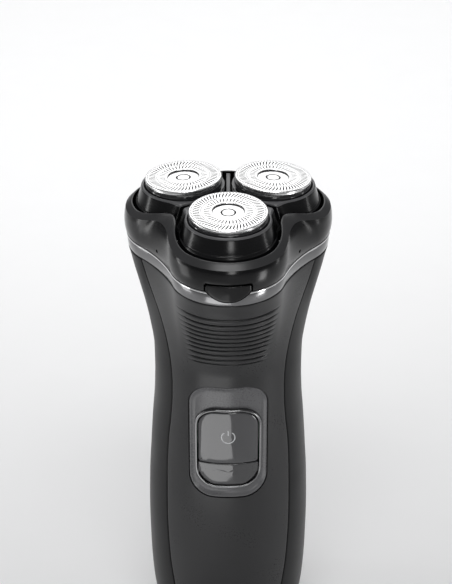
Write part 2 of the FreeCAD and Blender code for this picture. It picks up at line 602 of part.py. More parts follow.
GAP = 0.75
GAP_REAR = 1.7
gaps = {"front": (GAP, GAP), "right": (GAP, GAP_REAR), "left": (GAP_REAR, GAP)}
for n, a in AZ.items():
    ga, gb = gaps[n]
    pod = pod_all.common(wedge(a, ga, gb))
    cav = pod_in.common(wedge(a, ga + 1.1, gb + 1.1))
    pod = pod.cut(cav)
    # floor with the cutter opening
    floor = pod_all.common(wedge(a, ga, gb)).common(box(-40, 40, -40, 40, 149.4, 150.6))
    pod = pod.fuse(floor)
    hole = tilted(cyl(9.4, -13.5, -6.0), a)
    pod = pod.cut(hole)
    pod = pod.cut(tilted(cyl(12.2, -7.8, 3.0), a))
    # trunnion pins on the tilt axis
    ar = math.radians(a)
    cx, cy = RC * math.cos(ar), RC * math.sin(ar)
    t = V(-math.sin(ar), math.cos(ar), 0)
    for s in (-1, 1):
        p0 = V(cx, cy, POD_PIVOT_Z) + t * (s * 14.2)
        pin = Part.makeCylinder(0.8, 2.8, p0, t * s)
        pod = pod.fuse(pin)
        bore = Part.makeCylinder(0.86, 3.3, V(cx, cy, POD_PIVOT_Z) + t * (s * 14.0), t * s)
        hous = hous.cut(bore)
    pod = pod.removeSplitter()
    keep("pod_" + n, pod)

    # shaving cap: slotted steel guard, local frame with its top at z = 0
    cap = cyl(DISC_R, -0.8, 0.0)
    cap = cap.fuse(cyl(11.2, -4.8, -0.8))
    cap = cap.cut(cyl(10.6, -5.0, -0.8))
    cap = cap.cut(Part.makeCone(4.6, 4.9, 0.4, V(0, 0, -0.4)))
    cap = cap.fuse(cyl(5.2, -1.2, -0.8)).removeSplitter()
    keep("cap_" + n, tilted(cap, a))
    rim = cyl(11.9, -5.4, -1.5).cut(cyl(11.2, -5.4, -1.5))
    # three lugs on the outward side hook under the pod's top edge
    for k in (-50, 0, 50):
        lug = Part.makeBox(1.4, 3.6, 0.8, V(11.5, -1.8, -5.4))
        lug.rotate(V(0, 0, 0), V(0, 0, 1), k)
        rim = rim.fuse(lug.common(cyl(12.55, -5.4, -4.6)))
    rim = rim.cut(cyl(11.2, -6.0, -1.0)).removeSplitter()
    keep("cap_rim_" + n, tilted(rim, a))

    # cutter: hub with flared drive socket, carrier disc, raised blades
    cut_ = cyl(9.9, -3.6, -2.9).fuse(cyl(4.9, -14.4, -3.6))
    bl = None
    for k in range(9):
        b = Part.makeBox(4.4, 0.7, 1.6, V(5.9, -0.35, -2.9))
        b.rotate(V(0, 0, 0), V(0, 0, 1), 40 * k)
        cut_ = cut_.fuse(b)
    cut_ = cut_.removeSplitter()
    # the socket stays aligned with the spindle blade, which lies along Y
    slot = Part.makeBox(3.8, 8.0, 3.6, V(-1.9, -4.0, -14.5))
    slot.rotate(V(0, 0, 0), V(0, 0, 1), -a)
    cut_ = cut_.cut(slot)
    keep("cutter_" + n, tilted(cut_, a))
    tick("unit " + n)
    keep("cap_spring_" + n, tilted(cone_spring, a))

# retaining frame under the pods, and the rib between the two rear pods
rf = tre_prism(15.75, 46.4, 143.3, 144.5)
for n, a in AZ.items():
    x, y = RC * math.cos(math.radians(a)), RC * math.sin(math.radians(a))
    rf = rf.cut(cyl(9.6, 140, 150, x, y))
rf = rf.cut(box(-12, 12, -40, -26.9, 140, 150))
rib = box(-0.75, 0.75, 1.6, 15.0, 150.0, 157.6)
rib = rib.fuse(box(-0.75, 0.75, 1.6, 4.2, 144.5, 150.0)).removeSplitter()
rf = rf.fuse(cyl(2.4, 143.3, 144.5)).removeSplitter()
keep("retaining_frame", rf)
keep("centre_rib", rib)
keep("head_housing", hous)

for name, shp in PARTS.items():
    shp.exportStep(os.path.join("parts", name + ".step"))
    print(name, len(shp.Solids), "vol %.1f" % shp.Volume, "valid", shp.isValid())
print(len(PARTS), "nodes")
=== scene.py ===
import json
import math
import bpy
import bmesh
import numpy as np
from mathutils import Vector, Matrix


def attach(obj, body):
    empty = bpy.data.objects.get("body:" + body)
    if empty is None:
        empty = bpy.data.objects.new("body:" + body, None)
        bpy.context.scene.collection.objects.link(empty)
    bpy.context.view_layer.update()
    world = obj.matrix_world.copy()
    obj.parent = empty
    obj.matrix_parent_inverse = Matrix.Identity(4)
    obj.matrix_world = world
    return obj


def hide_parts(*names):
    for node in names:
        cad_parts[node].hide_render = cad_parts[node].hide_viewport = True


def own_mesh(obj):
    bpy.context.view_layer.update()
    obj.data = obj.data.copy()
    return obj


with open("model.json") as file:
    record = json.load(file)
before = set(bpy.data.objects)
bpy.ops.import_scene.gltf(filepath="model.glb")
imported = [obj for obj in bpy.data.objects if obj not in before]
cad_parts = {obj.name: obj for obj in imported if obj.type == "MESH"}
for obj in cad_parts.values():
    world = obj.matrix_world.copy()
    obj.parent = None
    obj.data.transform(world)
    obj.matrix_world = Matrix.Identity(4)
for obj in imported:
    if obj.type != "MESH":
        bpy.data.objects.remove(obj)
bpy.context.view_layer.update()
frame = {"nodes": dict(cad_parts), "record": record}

MM = 0.001
RC = 15.9
AZ = {"front": -90.0, "right": 30.0, "left": 150.0}
DISC_R, DISC_Z, TILT = 11.75, 160.0, 3.0
BAND_Z, SEAM_Z, BASE_Z = 137.6, 142.0, 8.0
S60 = math.sin(math.radians(60))


# --------------------------------------------------------------- maths
def tre(th, rho, f):
    th = np.asarray(th, float)
    a = np.mod(th + 90.0, 120.0)
    phi = np.minimum(a, 120.0 - a)
    d = RC / 2 + math.sqrt((rho + f) ** 2 - (RC * S60) ** 2)
    fx, fy = d * 0.5, d * S60
    tx = RC + (fx - RC) * rho / (rho + f)
    ty = fy * rho / (rho + f)
    pt = math.degrees(math.atan2(ty, tx))
    p = np.radians(phi)
    lobe = RC * np.cos(p) + np.sqrt(np.maximum(rho ** 2 - (RC * np.sin(p)) ** 2, 0))
    q = np.radians(60.0 - phi)
    fil = d * np.cos(q) - np.sqrt(np.maximum(f ** 2 - (d * np.sin(q)) ** 2, 0))
    return np.where(phi <= pt, lobe, fil)


class Curve:
    """Smooth monotone curve through a table."""

    def __init__(self, tab):
        self.x = np.array([t[0] for t in tab], float)
        self.y = np.array([t[1] for t in tab], float)
        h = np.diff(self.x)
        s = np.diff(self.y) / h
        m = np.zeros(len(self.x))
        for i in range(1, len(m) - 1):
            if s[i - 1] * s[i] > 0:
                w1, w2 = 2 * h[i] + h[i - 1], h[i] + 2 * h[i - 1]
                m[i] = (w1 + w2) / (w1 / s[i - 1] + w2 / s[i])
        m[0], m[-1] = s[0], s[-1]
        self.m = m

    def __call__(self, v):
        v = np.clip(np.asarray(v, float), self.x[0], self.x[-1])
        i = np.clip(np.searchsorted(self.x, v) - 1, 0, len(self.x) - 2)
        h = self.x[i + 1] - self.x[i]
        t = (v - self.x[i]) / h
        return ((2 * t ** 3 - 3 * t ** 2 + 1) * self.y[i] + (t ** 3 - 2 * t ** 2 + t) * h * self.m[i]
                + (-2 * t ** 3 + 3 * t ** 2) * self.y[i + 1] + (t ** 3 - t ** 2) * h * self.m[i + 1])


BLEND = Curve([(0, 1.0), (98.7, 1.0), (106.0, 0.985), (113.5, 0.80), (119.6, 0.61),
               (126.0, 0.377), (131.7, 0.18), (136.1, 0.05), (137.6, 0.0), (150, 0.0)])
HALF_W = Curve([(0.0, 19.0), (1.2, 21.2), (3.5, 22.9), (8.0, 24.3), (16.0, 25.4),
                (28.0, 26.0), (42.0, 26.2), (56.0, 25.9), (68.0, 25.2), (80.0, 24.4),
                (90.0, 23.6), (98.7, 23.35), (137.6, 23.35)])
HALF_D = Curve([(0.0, 17.2), (1.2, 19.4), (3.5, 21.1), (8.0, 22.4), (16.0, 23.3),
                (28.0, 23.9), (42.0, 24.2), (56.0, 24.2), (68.0, 24.0), (80.0, 23.8),
                (90.0, 23.6), (98.7, 23.5), (137.6, 23.5)])
SPLIT = Curve([(8.0, 15.8), (20.0, 17.6), (34.0, 19.2), (50.0, 19.8), (66.0, 19.6),
               (79.0, 19.0), (86.5, 18.2), (95.0, 17.6), (101.0, 17.5), (107.0, 17.8),
               (114.5, 18.9), (121.5, 20.8), (126.3, 22.8), (131.5, 24.9), (137.6, 26.8)])


def handle_r(th, z, off=0.0):
    th, z = np.broadcast_arrays(np.asarray(th, float), np.asarray(z, float))
    w = HALF_W(z) - off
    d = HALF_D(z) - off
    t = np.radians(th)
    oval = 1.0 / np.sqrt((np.cos(t) / w) ** 2 + (np.sin(t) / d) ** 2)
    s = BLEND(z)
    k = np.clip((z - BAND_Z) / (SEAM_Z - BAND_Z), 0, 1)
    t0 = tre(th, 17.4 - off, 48.0 + off)
    t1 = tre(th, 17.7 - off, 48.0 + off)
    return (1 - s) * (t0 * (1 - k) + t1 * k) + s * oval


def sstep(a, b, x):
    t = np.clip((np.asarray(x, float) - a) / (b - a), 0, 1)
    return t * t * (3 - 2 * t)


# --------------------------------------------------------------- mesh tools
def make(name, verts, faces, mats=None, fmat=None, smooth=True, sharp=35.0):
    me = bpy.data.meshes.new(name)
    me.from_pydata([tuple(v) for v in (np.asarray(verts, float) * MM)], [],
                   [tuple(int(i) for i in f) for f in faces])
    bm = bmesh.new()
    bm.from_mesh(me)
    bmesh.ops.remove_doubles(bm, verts=bm.verts, dist=1e-7)
    bmesh.ops.recalc_face_normals(bm, faces=bm.faces)
    for e in bm.edges:
        if len(e.link_faces) == 2 and e.calc_face_angle(0.0) > math.radians(sharp):
            e.smooth = False
    for f in bm.faces:
        f.smooth = smooth
    bm.to_mesh(me)
    bm.free()
    ob = bpy.data.objects.new(name, me)
    bpy.context.scene.collection.objects.link(ob)
    return ob


class Build:
    """Collects vertices and faces; faces carry a material index."""

    def __init__(self):
        self.v, self.f, self.m, self.n = [], [], [], 0

    def pts(self, p):
        p = np.asarray(p, float).reshape(-1, 3)
        i = self.n
        self.v.append(p)
        self.n += len(p)
        return i

    def grid(self, P, wrap_u=False, wrap_v=False, mat=0, flip=False):
        """P[v, u, 3]; returns index array."""
        nv, nu = P.shape[:2]
        b = self.pts(P)
        idx = b + np.arange(nv * nu).reshape(nv, nu)
        J = range(nu if wrap_u else nu - 1)
        I = range(nv if wrap_v else nv - 1)
        for i in I:
            i2 = (i + 1) % nv
            for j in J:
                j2 = (j + 1) % nu
                q = (idx[i, j], idx[i, j2], idx[i2, j2], idx[i2, j])
                self.f.append(q[::-1] if flip else q)
                self.m.append(mat if np.isscalar(mat) else mat[i, j])
        return idx

    def cap(self, ring, mat=0):
        self.f.append(tuple(ring))
        self.m.append(mat)

    def fan(self, ring, centre, mat=0):
        c = self.pts([centre])
        n = len(ring)
        for j in range(n):
            self.f.append((ring[j], ring[(j + 1) % n], c))
            self.m.append(mat)

    def object(self, name, mats, sharp=35.0):
        v = np.concatenate(self.v) * MM
        me = bpy.data.meshes.new(name)
        me.from_pydata(v.tolist(), [], [tuple(int(i) for i in f) for f in self.f])
        for m in mats:
            me.materials.append(m)
        me.polygons.foreach_set("material_index", np.array(self.m, dtype=np.int32))
        bm = bmesh.new()
        bm.from_mesh(me)
        bmesh.ops.remove_doubles(bm, verts=bm.verts, dist=2e-7)
        bmesh.ops.recalc_face_normals(bm, faces=bm.faces)
        lim = math.radians(sharp)
        for e in bm.edges:
            if len(e.link_faces) == 2 and e.calc_face_angle(0.0) > lim:
                e.smooth = False
        for f in bm.faces:
            f.smooth = True
        bm.to_mesh(me)
        bm.free()
        ob = bpy.data.objects.new(name, me)
        bpy.context.scene.collection.objects.link(ob)
        return ob


def apply_mods(ob):
    dg = bpy.context.evaluated_depsgraph_get()
    me = bpy.data.meshes.new_from_object(ob.evaluated_get(dg))
    ob.modifiers.clear()
    old = ob.data
    ob.data = me
    bpy.data.meshes.remove(old)


def resmooth(ob, sharp=35.0):
    bm = bmesh.new()
    bm.from_mesh(ob.data)
    lim = math.radians(sharp)
    for f in bm.faces:
        f.smooth = True
    for e in bm.edges:
        e.smooth = not (len(e.link_faces) == 2 and e.calc_face_angle(0.0) > lim)
    bm.to_mesh(ob.data)
    bm.free()


def boolean(ob, cutter, op="DIFFERENCE"):
    m = ob.modifiers.new("cut", "BOOLEAN")
    m.operation = op
    m.solver = "EXACT"
    m.object = cutter
    bpy.context.view_layer.update()
    apply_mods(ob)
    bpy.data.objects.remove(cutter, do_unlink=True)
    resmooth(ob)


# --------------------------------------------------------------- materials
def material(name, color, rough=0.4, metal=0.0, coat=0.0, coat_rough=0.05, spec=0.5,
             noise=900.0, bump=0.05, rvar=0.06, cvar=0.06, brushed=None, dist=0.00005,
             scratches=0.0, aniso=0.0):
    m = bpy.data.materials.new(name)
    m.use_nodes = True
    nt = m.node_tree
    for n in list(nt.nodes):
        nt.nodes.remove(n)
    out = nt.nodes.new("ShaderNodeOutputMaterial")
    bs = nt.nodes.new("ShaderNodeBsdfPrincipled")
    nt.links.new(bs.outputs["BSDF"], out.inputs["Surface"])
    bs.inputs["Metallic"].default_value = metal
    bs.inputs["Specular IOR Level"].default_value = spec
    bs.inputs["Coat Weight"].default_value = coat
    bs.inputs["Coat Roughness"].default_value = coat_rough
    if aniso:
        bs.inputs["Anisotropic"].default_value = aniso
    tc = nt.nodes.new("ShaderNodeTexCoord")
    mp = nt.nodes.new("ShaderNodeMapping")
    nt.links.new(tc.outputs["Object"], mp.inputs["Vector"])
    if brushed:
        mp.inputs["Scale"].default_value = brushed
    n1 = nt.nodes.new("ShaderNodeTexNoise")
    n1.inputs["Scale"].default_value = noise
    n1.inputs["Detail"].default_value = 6.0
    nt.links.new(mp.outputs["Vector"], n1.inputs["Vector"])
    n2 = nt.nodes.new("ShaderNodeTexNoise")          # broad cloudiness
    n2.inputs["Scale"].default_value = 55.0
    n2.inputs["Detail"].default_value = 4.0
    nt.links.new(tc.outputs["Object"], n2.inputs["Vector"])
    cr = nt.nodes.new("ShaderNodeMix")
    cr.data_type = "RGBA"
    c = np.array(color[:3], float)
    cr.inputs["A"].default_value = (*np.clip(c * (1 - cvar), 0, 1), 1)
    cr.inputs["B"].default_value = (*np.clip(c * (1 + cvar), 0, 1), 1)
    nt.links.new(n2.outputs["Fac"], cr.inputs["Factor"])
    nt.links.new(cr.outputs["Result"], bs.inputs["Base Color"])
    ad = nt.nodes.new("ShaderNodeMath")
    ad.operation = "ADD"
    nt.links.new(n1.outputs["Fac"], ad.inputs[0])
    nt.links.new(n2.outputs["Fac"], ad.inputs[1])
    mr = nt.nodes.new("ShaderNodeMapRange")
    mr.inputs["From Min"].default_value = 0.6
    mr.inputs["From Max"].default_value = 1.4
    mr.inputs["To Min"].default_value = max(0.02, rough - rvar)
    mr.inputs["To Max"].default_value = rough + rvar
    nt.links.new(ad.outputs["Value"], mr.inputs["Value"])
    nt.links.new(mr.outputs["Result"], bs.inputs["Roughness"])
    bp = nt.nodes.new("ShaderNodeBump")
    bp.inputs["Strength"].default_value = bump
    bp.inputs["Distance"].default_value = dist
    hsrc = n1.outputs["Fac"]
    if scratches:
        mp2 = nt.nodes.new("ShaderNodeMapping")
        mp2.inputs["Rotation"].default_value = (0.4, 0.9, 0.7)
        mp2.inputs["Scale"].default_value = (1.0, 30.0, 1.0)
        nt.links.new(tc.outputs["Object"], mp2.inputs["Vector"])
        n3 = nt.nodes.new("ShaderNodeTexNoise")
        n3.inputs["Scale"].default_value = 60.0
        n3.inputs["Detail"].default_value = 8.0
        nt.links.new(mp2.outputs["Vector"], n3.inputs["Vector"])
        mm = nt.nodes.new("ShaderNodeMath")
        mm.operation = "MULTIPLY_ADD"
        mm.inputs[1].default_value = scratches
        nt.links.new(n3.outputs["Fac"], mm.inputs[0])
        nt.links.new(n1.outputs["Fac"], mm.inputs[2])
        hsrc = mm.outputs["Value"]
    nt.links.new(hsrc, bp.inputs["Height"])
    nt.links.new(bp.outputs["Normal"], bs.inputs["Normal"])
    return m


M = {}
M["black_gloss"] = material("gloss_black_plastic", (0.004, 0.004, 0.0045), 0.20, coat=0.12, spec=0.30,
                            coat_rough=0.15, noise=700, bump=0.03, rvar=0.03, cvar=0.15)
M["satin_grey"] = material("satin_panel", (0.021, 0.021, 0.022), 0.30, spec=0.38, noise=2600, bump=0.12,
                           rvar=0.05, cvar=0.08, dist=0.00003)
M["grip"] = material("soft_grip", (0.004, 0.004, 0.0045), 0.38, spec=0.18, noise=3200, bump=0.30,
                     rvar=0.06, cvar=0.12, dist=0.00004)
M["trim"] = material("trim_metal", (0.21, 0.21, 0.213), 0.17, metal=1.0, noise=500,
                     brushed=(1, 1, 14), bump=0.04, rvar=0.05, cvar=0.03, dist=0.00002)
M["panel"] = material("control_recess", (0.10, 0.10, 0.104), 0.28, noise=1800, bump=0.08)
M["button"] = material("button_gloss", (0.045, 0.045, 0.048), 0.10, coat=0.8, coat_rough=0.03,
                       noise=900, bump=0.02, rvar=0.02)
M["lens"] = material("lens_smoke", (0.03, 0.03, 0.032), 0.07, coat=0.9, coat_rough=0.02,
                     noise=900, bump=0.01, rvar=0.02)
M["icon"] = material("printed_mark", (0.55, 0.56, 0.57), 0.35, noise=1800, bump=0.05)
M["pod_top"] = material("pod_satin", (0.10, 0.10, 0.104), 0.32, noise=2600, bump=0.12,
                        rvar=0.05, dist=0.00003)
M["lip"] = material("lip_satin", (0.030, 0.030, 0.0315), 0.34, spec=0.55, noise=2600, bump=0.10,
                     rvar=0.05, dist=0.00003)
# polished bead metal, made much brighter than the band face: partly a real polished bead, partly a painted
# highlight line
M["bead"] = material("bead_polish_and_highlight", (0.93, 0.93, 0.935), 0.10, metal=1.0, noise=500, bump=0.03,
                     rvar=0.03, cvar=0.02, dist=0.00002)
M["pod_side"] = material("pod_gloss", (0.005, 0.005, 0.0055), 0.20, spec=0.40, brushed=(1, 1, 22),
                         noise=900, bump=0.03, rvar=0.03, cvar=0.12)
M["cap"] = material("cap_steel", (0.93, 0.93, 0.932), 0.25, metal=1.0, noise=1500, bump=0.05,
                    rvar=0.05, cvar=0.02, dist=0.00002, aniso=0.3)
# painted shade: near-black material for the cap's slot and hole floors and the centre recess walls
M["slot_dark"] = material("slot_shadow", (0.012, 0.012, 0.013), 0.5, metal=0.0, spec=0.2, noise=1500,
                          bump=0.1)
M["rim"] = material("rim_dark", (0.02, 0.02, 0.022), 0.12, coat=0.7, coat_rough=0.04,
                    noise=900, bump=0.02, rvar=0.02)
M["dark"] = material("gap_shadow", (0.004, 0.004, 0.004), 0.7, noise=900, bump=0.05)
M["deck"] = material("deck_plastic", (0.07, 0.07, 0.075), 0.45, noise=2400, bump=0.2, cvar=0.1)
M["case"] = material("case_plastic", (0.02, 0.02, 0.021), 0.5, noise=2400, bump=0.2, cvar=0.1)
M["gear"] = material("acetal", (0.78, 0.77, 0.73), 0.38, noise=1600, bump=0.08, cvar=0.04)
M["spindle"] = material("spindle_blue_grey", (0.07, 0.10, 0.16), 0.38, noise=1800, bump=0.1)
M["brass"] = material("brass_part", (0.72, 0.55, 0.26), 0.28, metal=1.0, noise=900, bump=0.06)
M["steel"] = material("steel_part", (0.58, 0.58, 0.59), 0.28, metal=1.0, noise=900, bump=0.08,
                      cvar=0.05)
M["cutter"] = material("cutter_ground", (0.66, 0.66, 0.67), 0.24, metal=1.0, noise=1200,
                       brushed=(1, 12, 1), bump=0.08)
M["seal"] = material("seal_rubber", (0.02, 0.02, 0.02), 0.6, noise=2400, bump=0.3)
M["battery"] = material("battery_sleeve", (0.05, 0.22, 0.14), 0.25, coat=0.4, noise=900,
                        bump=0.05)
M["board"] = material("board_mask", (0.015, 0.12, 0.05), 0.3, coat=0.3, noise=1500, bump=0.1)

CAD_MATS = {
    "black_gloss": "black_gloss", "satin_grey": "satin_grey", "case_black": "case",
    "grip_rubber": "grip", "trim_metal": "trim", "panel_grey": "panel",
    "button_gloss": "button", "lens_smoke": "lens", "deck_grey": "deck", "pod_grey": "pod_top",
    "cap_steel": "cap", "rim_dark": "rim", "cutter_steel": "cutter", "gear_white": "gear",
    "spindle_plastic": "spindle", "brass": "brass", "steel": "steel", "motor_metal": "steel",
    "hinge_plastic": "black_gloss", "seal_rubber": "seal", "battery_wrap": "battery",
    "board_green": "board", "board_black": "case"}
for sp in frame["record"]["subparts"]:
    ob = frame["nodes"].get(sp["node"])
    key = CAD_MATS.get(sp["material_slot"])
    if ob is not None and key:
        if len(ob.material_slots) == 0:
            ob.data.materials.append(M[key])
        for s in ob.material_slots:
            s.material = M[key]


def put(ob, body, slot, *nodes):
    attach(ob, body)
    if nodes:
        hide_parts(*nodes)
    return ob


# --------------------------------------------------------------- handle skins
def edge_theta(z, front=True):
    """Angle on the +X side at which the outline crosses the split line."""
    xs = SPLIT(z)
    lo = np.full_like(np.asarray(z, float), -88.0 if front else 88.0)
    hi = np.zeros_like(lo) + (-8.0 if front else 8.0)
    for _ in range(40):
        mid = (lo + hi) / 2
        x = handle_r(mid, z) * np.cos(np.radians(mid))
        inside = x < xs
        lo = np.where(inside, mid, lo)
        hi = np.where(inside, hi, mid)
    return (lo + hi) / 2


EDGE = np.array([0.0, 0.03, 0.09, 0.18, 0.30, 0.45])
ER = 0.42


def round_depth(d):
    d = np.clip(d, 0, ER)
    return ER - np.sqrt(np.maximum(ER ** 2 - (ER - d) ** 2, 0))


def skin(name, th0, th1, zs, n, mats, disp=None, thick=1.2, gap=0.05):
    """Closed shell over the handle between angle curves th0(z) and th1(z)."""
    zs = np.asarray(zs, float)
    a0, a1 = th0(zs), th1(zs)
    rr = handle_r((a0 + a1) / 2, zs)
    arc = np.radians(a1 - a0) * rr
    e = EDGE + gap
    core = np.linspace(0, 1, n)[1:-1]
    P, D = [], []
    zmin, zmax = zs[0], zs[-1]
    for k, z in enumerate(zs):
        u = np.concatenate([e / arc[k], (e[-1] + core * (arc[k] - 2 * e[-1])) / arc[k],
                            1 - e[::-1] / arc[k]])
        th = a0[k] + (a1[k] - a0[k]) * u
        d = np.minimum(u * arc[k], (1 - u) * arc[k]) - gap
        dz = min(z - zmin, zmax - z)
        dep = np.maximum(round_depth(d), round_depth(np.full_like(d, dz)))
        r = handle_r(th, z)
        off = dep.copy()
        if disp is not None:
            off = off - disp(r * np.cos(np.radians(th)), z)
        r = r - off
        P.append(np.stack([r * np.cos(np.radians(th)), r * np.sin(np.radians(th)),
                           np.full_like(r, z)], -1))
        r2 = handle_r(th, z) - thick
        D.append(np.stack([r2 * np.cos(np.radians(th)), r2 * np.sin(np.radians(th)),
                           np.full_like(r2, z)], -1))
    P, D = np.array(P), np.array(D)
    b = Build()
    io = b.grid(P)
    ii = b.grid(D, flip=True)

    def rim(a, c):
        for j in range(len(a) - 1):
            b.f.append((a[j], c[j], c[j + 1], a[j + 1]))
            b.m.append(0)
    rim(io[0], ii[0]); rim(io[-1][::-1], ii[-1][::-1])
    rim(io[::-1, 0], ii[::-1, 0]); rim(io[:, -1], ii[:, -1])
    return b.object(name, mats, 50.0)


def zlist(z0, z1, step, fine=None):
    z = [z0 + g for g in (0, 0.03, 0.09, 0.18, 0.3, 0.45)]
    v = z0 + 0.45 + step
    while v < z1 - 0.45 - step * 0.5:
        st = step
        if fine and fine[0] <= v <= fine[1]:
            st = fine[2]
        z.append(v)
        v += st
    z += [z1 - g for g in (0.45, 0.3, 0.18, 0.09, 0.03, 0)]
    return np.array(z)


RIBS = [131.6, 129.3, 127.3, 125.5, 123.8, 121.9, 120.1, 118.4, 116.3, 114.2, 112.4]


def rib_disp(x, z):
    """Convex ridges between sharp grooves, fading out at both ends."""
    zr = np.array(RIBS)
    if z > zr[0] + 2.2 or z < zr[-1] - 2.2:
        return np.zeros_like(x)
    half = 15.6 - 3.6 * (131.6 - z) / 19.2
    fade = 1 - sstep(half - 3.0, half + 0.4, np.abs(x))
    dist = np.min(np.abs(zr - z))
    groove = -0.34 * math.exp(-(dist / 0.26) ** 2)
    bulge = 0.0
    for a, c in zip(zr[:-1], zr[1:]):
        if c <= z <= a:
            t = (z - c) / (a - c)
            bulge = 0.22 * (4 * t * (1 - t)) ** 0.6
    return fade * (groove + bulge)


TOPZ = BAND_Z - 0.18
zs_f = zlist(BASE_Z + 0.12, TOPZ, 1.6, (110.0, 134.0, 0.13))
fp = skin("front_panel_skin", lambda z: -180 - edge_theta(z), lambda z: edge_theta(z), zs_f, 90,
          [M["satin_grey"]], rib_disp)
zs_s = zlist(BASE_Z + 0.12, TOPZ, 1.4)
rp = skin("rear_panel_skin", lambda z: edge_theta(z, False), lambda z: 180 - edge_theta(z, False),
          zs_s, 70, [M["black_gloss"]])
gr = skin("right_grip_skin", lambda z: edge_theta(z), lambda z: edge_theta(z, False), zs_s, 60,
          [M["grip"]])
gl = skin("left_grip_skin", lambda z: 180 - edge_theta(z, False), lambda z: 180 - edge_theta(z),
          zs_s, 60, [M["grip"]])


# --------------------------------------------------------------- plates on the front
def rrect(w, z0, z1, rad, n=40):
    """Rounded rectangle outline (x, z), anticlockwise, 4n points."""
    hw, hz, cz = w / 2, (z1 - z0) / 2, (z0 + z1) / 2
    out = []
    for q, (sx, sz) in enumerate(((1, 1), (-1, 1), (-1, -1), (1, -1))):
        for k in range(n):
            # spread points over corner arc and the two half edges
            t = (k + 0.5) / n
            cx, cz_ = sx * (hw - rad), sz * (hz - rad)
            a = math.radians(90 * q) + t * math.pi / 2
            # superellipse-like distribution: pure arc plus straight portions
            if t < 0.25:
                if q % 2 == 0:
                    out.append((sx * hw, cz + sz * (hz - rad) * (t / 0.25)))
                else:
                    out.append((sx * (hw - rad) * (t / 0.25), cz + sz * hz))
            elif t > 0.75:
                s = (1 - t) / 0.25
                if q % 2 == 0:
                    out.append((sx * (hw - rad) * s, cz + sz * hz))
                else:
                    out.append((sx * hw, cz + sz * (hz - rad) * s))
            else:
                a = math.radians(90 * q) + (t - 0.25) / 0.5 * math.pi / 2
                out.append((cx + rad * math.cos(a), cz + cz_ + rad * math.sin(a)))
    return np.array(out)


def on_front(xz, off):
    x, z = xz[:, 0], xz[:, 1]
    off = np.broadcast_to(off, x.shape)
    y = -np.sqrt(np.maximum((23.5 - off) ** 2 - x ** 2, 1.0))
    for _ in range(8):
        th = np.degrees(np.arctan2(y, x))
        r = handle_r(th, z) - off
        y = -np.sqrt(np.maximum(r ** 2 - x ** 2, 0.5))
    return np.stack([x, y, z], -1)


def inset(xz, d):
    """Move a convex outline inward by d."""
    n = len(xz)
    t = np.roll(xz, -1, 0) - np.roll(xz, 1, 0)
    t /= np.linalg.norm(t, axis=1)[:, None]
    nrm = np.stack([-t[:, 1], t[:, 0]], -1)
    return xz + nrm * d


def plate(name, outline, rows, mats, centre=None, hole=None, sharp=40.0):
    """rows: (inset, offset from the body surface). With hole, the last rows
    blend to that second outline."""
    b = Build()
    G = []
    for d, off in rows:
        G.append(on_front(inset(outline, d), off))
    if hole is not None:
        base_d, base_off = rows[-1]
        last = inset(outline, base_d)
        for k in range(1, 9):
            t = k / 8
            G.append(on_front(last * (1 - t) + hole * t, base_off))
        G.append(on_front(hole, base_off + 1.4))
        G.append(on_front(outline, rows[0][1]))
    G = np.array(G)
    idx = b.grid(G, wrap_u=True)
    if hole is None:
        c = outline.mean(0)
        d, off = rows[-1]
        last = inset(outline, d)
        ring = idx[-1]
        prev = ring
        for t in (0.8, 0.6, 0.4, 0.2):
            P = on_front(c + (last - c) * t, off - (1 - t) * 0.0)
            i0 = b.pts(P)
            cur = i0 + np.arange(len(P))
            for j in range(len(P)):
                j2 = (j + 1) % len(P)
                b.f.append((prev[j], prev[j2], cur[j2], cur[j]))
                b.m.append(0)
            prev = cur
        b.fan(prev, on_front(np.array([c]), off)[0])
        b.cap(idx[0][::-1])
    return b.object(name, mats, sharp)


O_PANEL = rrect(24.5, 62.05, 102.95, 7.4)
O_RING = rrect(21.2, 65.6, 94.8, 7.0)
O_BTN = rrect(19.3, 66.55, 93.85, 6.05)
# cut the recess through the front panel skin
def prism(outline, y0, y1, name="cutter_tmp"):
    b = Build()
    A = np.stack([outline[:, 0], np.full(len(outline), y0), outline[:, 1]], -1)
    B = A.copy(); B[:, 1] = y1
    i = b.grid(np.array([A, B]), wrap_u=True)
    b.cap(i[0][::-1]); b.cap(i[1])
    return b.object(name, [M["satin_grey"]], 40)


boolean(fp, prism(rrect(24.9, 61.85, 103.15, 7.6), -32, -12))
put(fp, "handle", "satin_grey", "front_panel")
put(rp, "handle", "black_gloss", "rear_panel")
put(gr, "handle", "grip_rubber", "right_grip")
put(gl, "handle", "grip_rubber", "left_grip")

pan = plate("control_recess", O_PANEL,
            [(0.0, 3.2), (0.0, 0.55), (0.05, 0.38), (0.16, 0.28), (0.32, 0.26), (0.5, 0.34),
             (1.0, 0.72), (1.5, 0.98), (2.0, 1.10)],
            [M["panel"]], hole=O_RING)
put(pan, "handle", "panel_grey", "control_panel")
ringp = Build()
rr_rows = []
for k in range(17):
    a = math.pi * k / 16
    rr_rows.append((0.40 - 0.40 * math.cos(a), 0.25 - 0.35 * math.sin(a)))
G = [on_front(inset(O_RING, 0.0), 3.0)] + [on_front(inset(O_RING, d), o) for d, o in rr_rows] + \
    [on_front(inset(O_RING, 0.8), 3.0)]
ringp.grid(np.array(G), wrap_u=True, wrap_v=True)
rg = ringp.object("button_ring_bright", [M["trim"]], 50)
put(rg, "handle", "trim_metal", "button_ring")

SPLIT_Z = 74.4


def clip_outline(outline, zlo, zhi):
    """Outline clamped to a height band (keeps the point count)."""
    o = outline.copy()
    o[:, 1] = np.clip(o[:, 1], zlo, zhi)
    return o


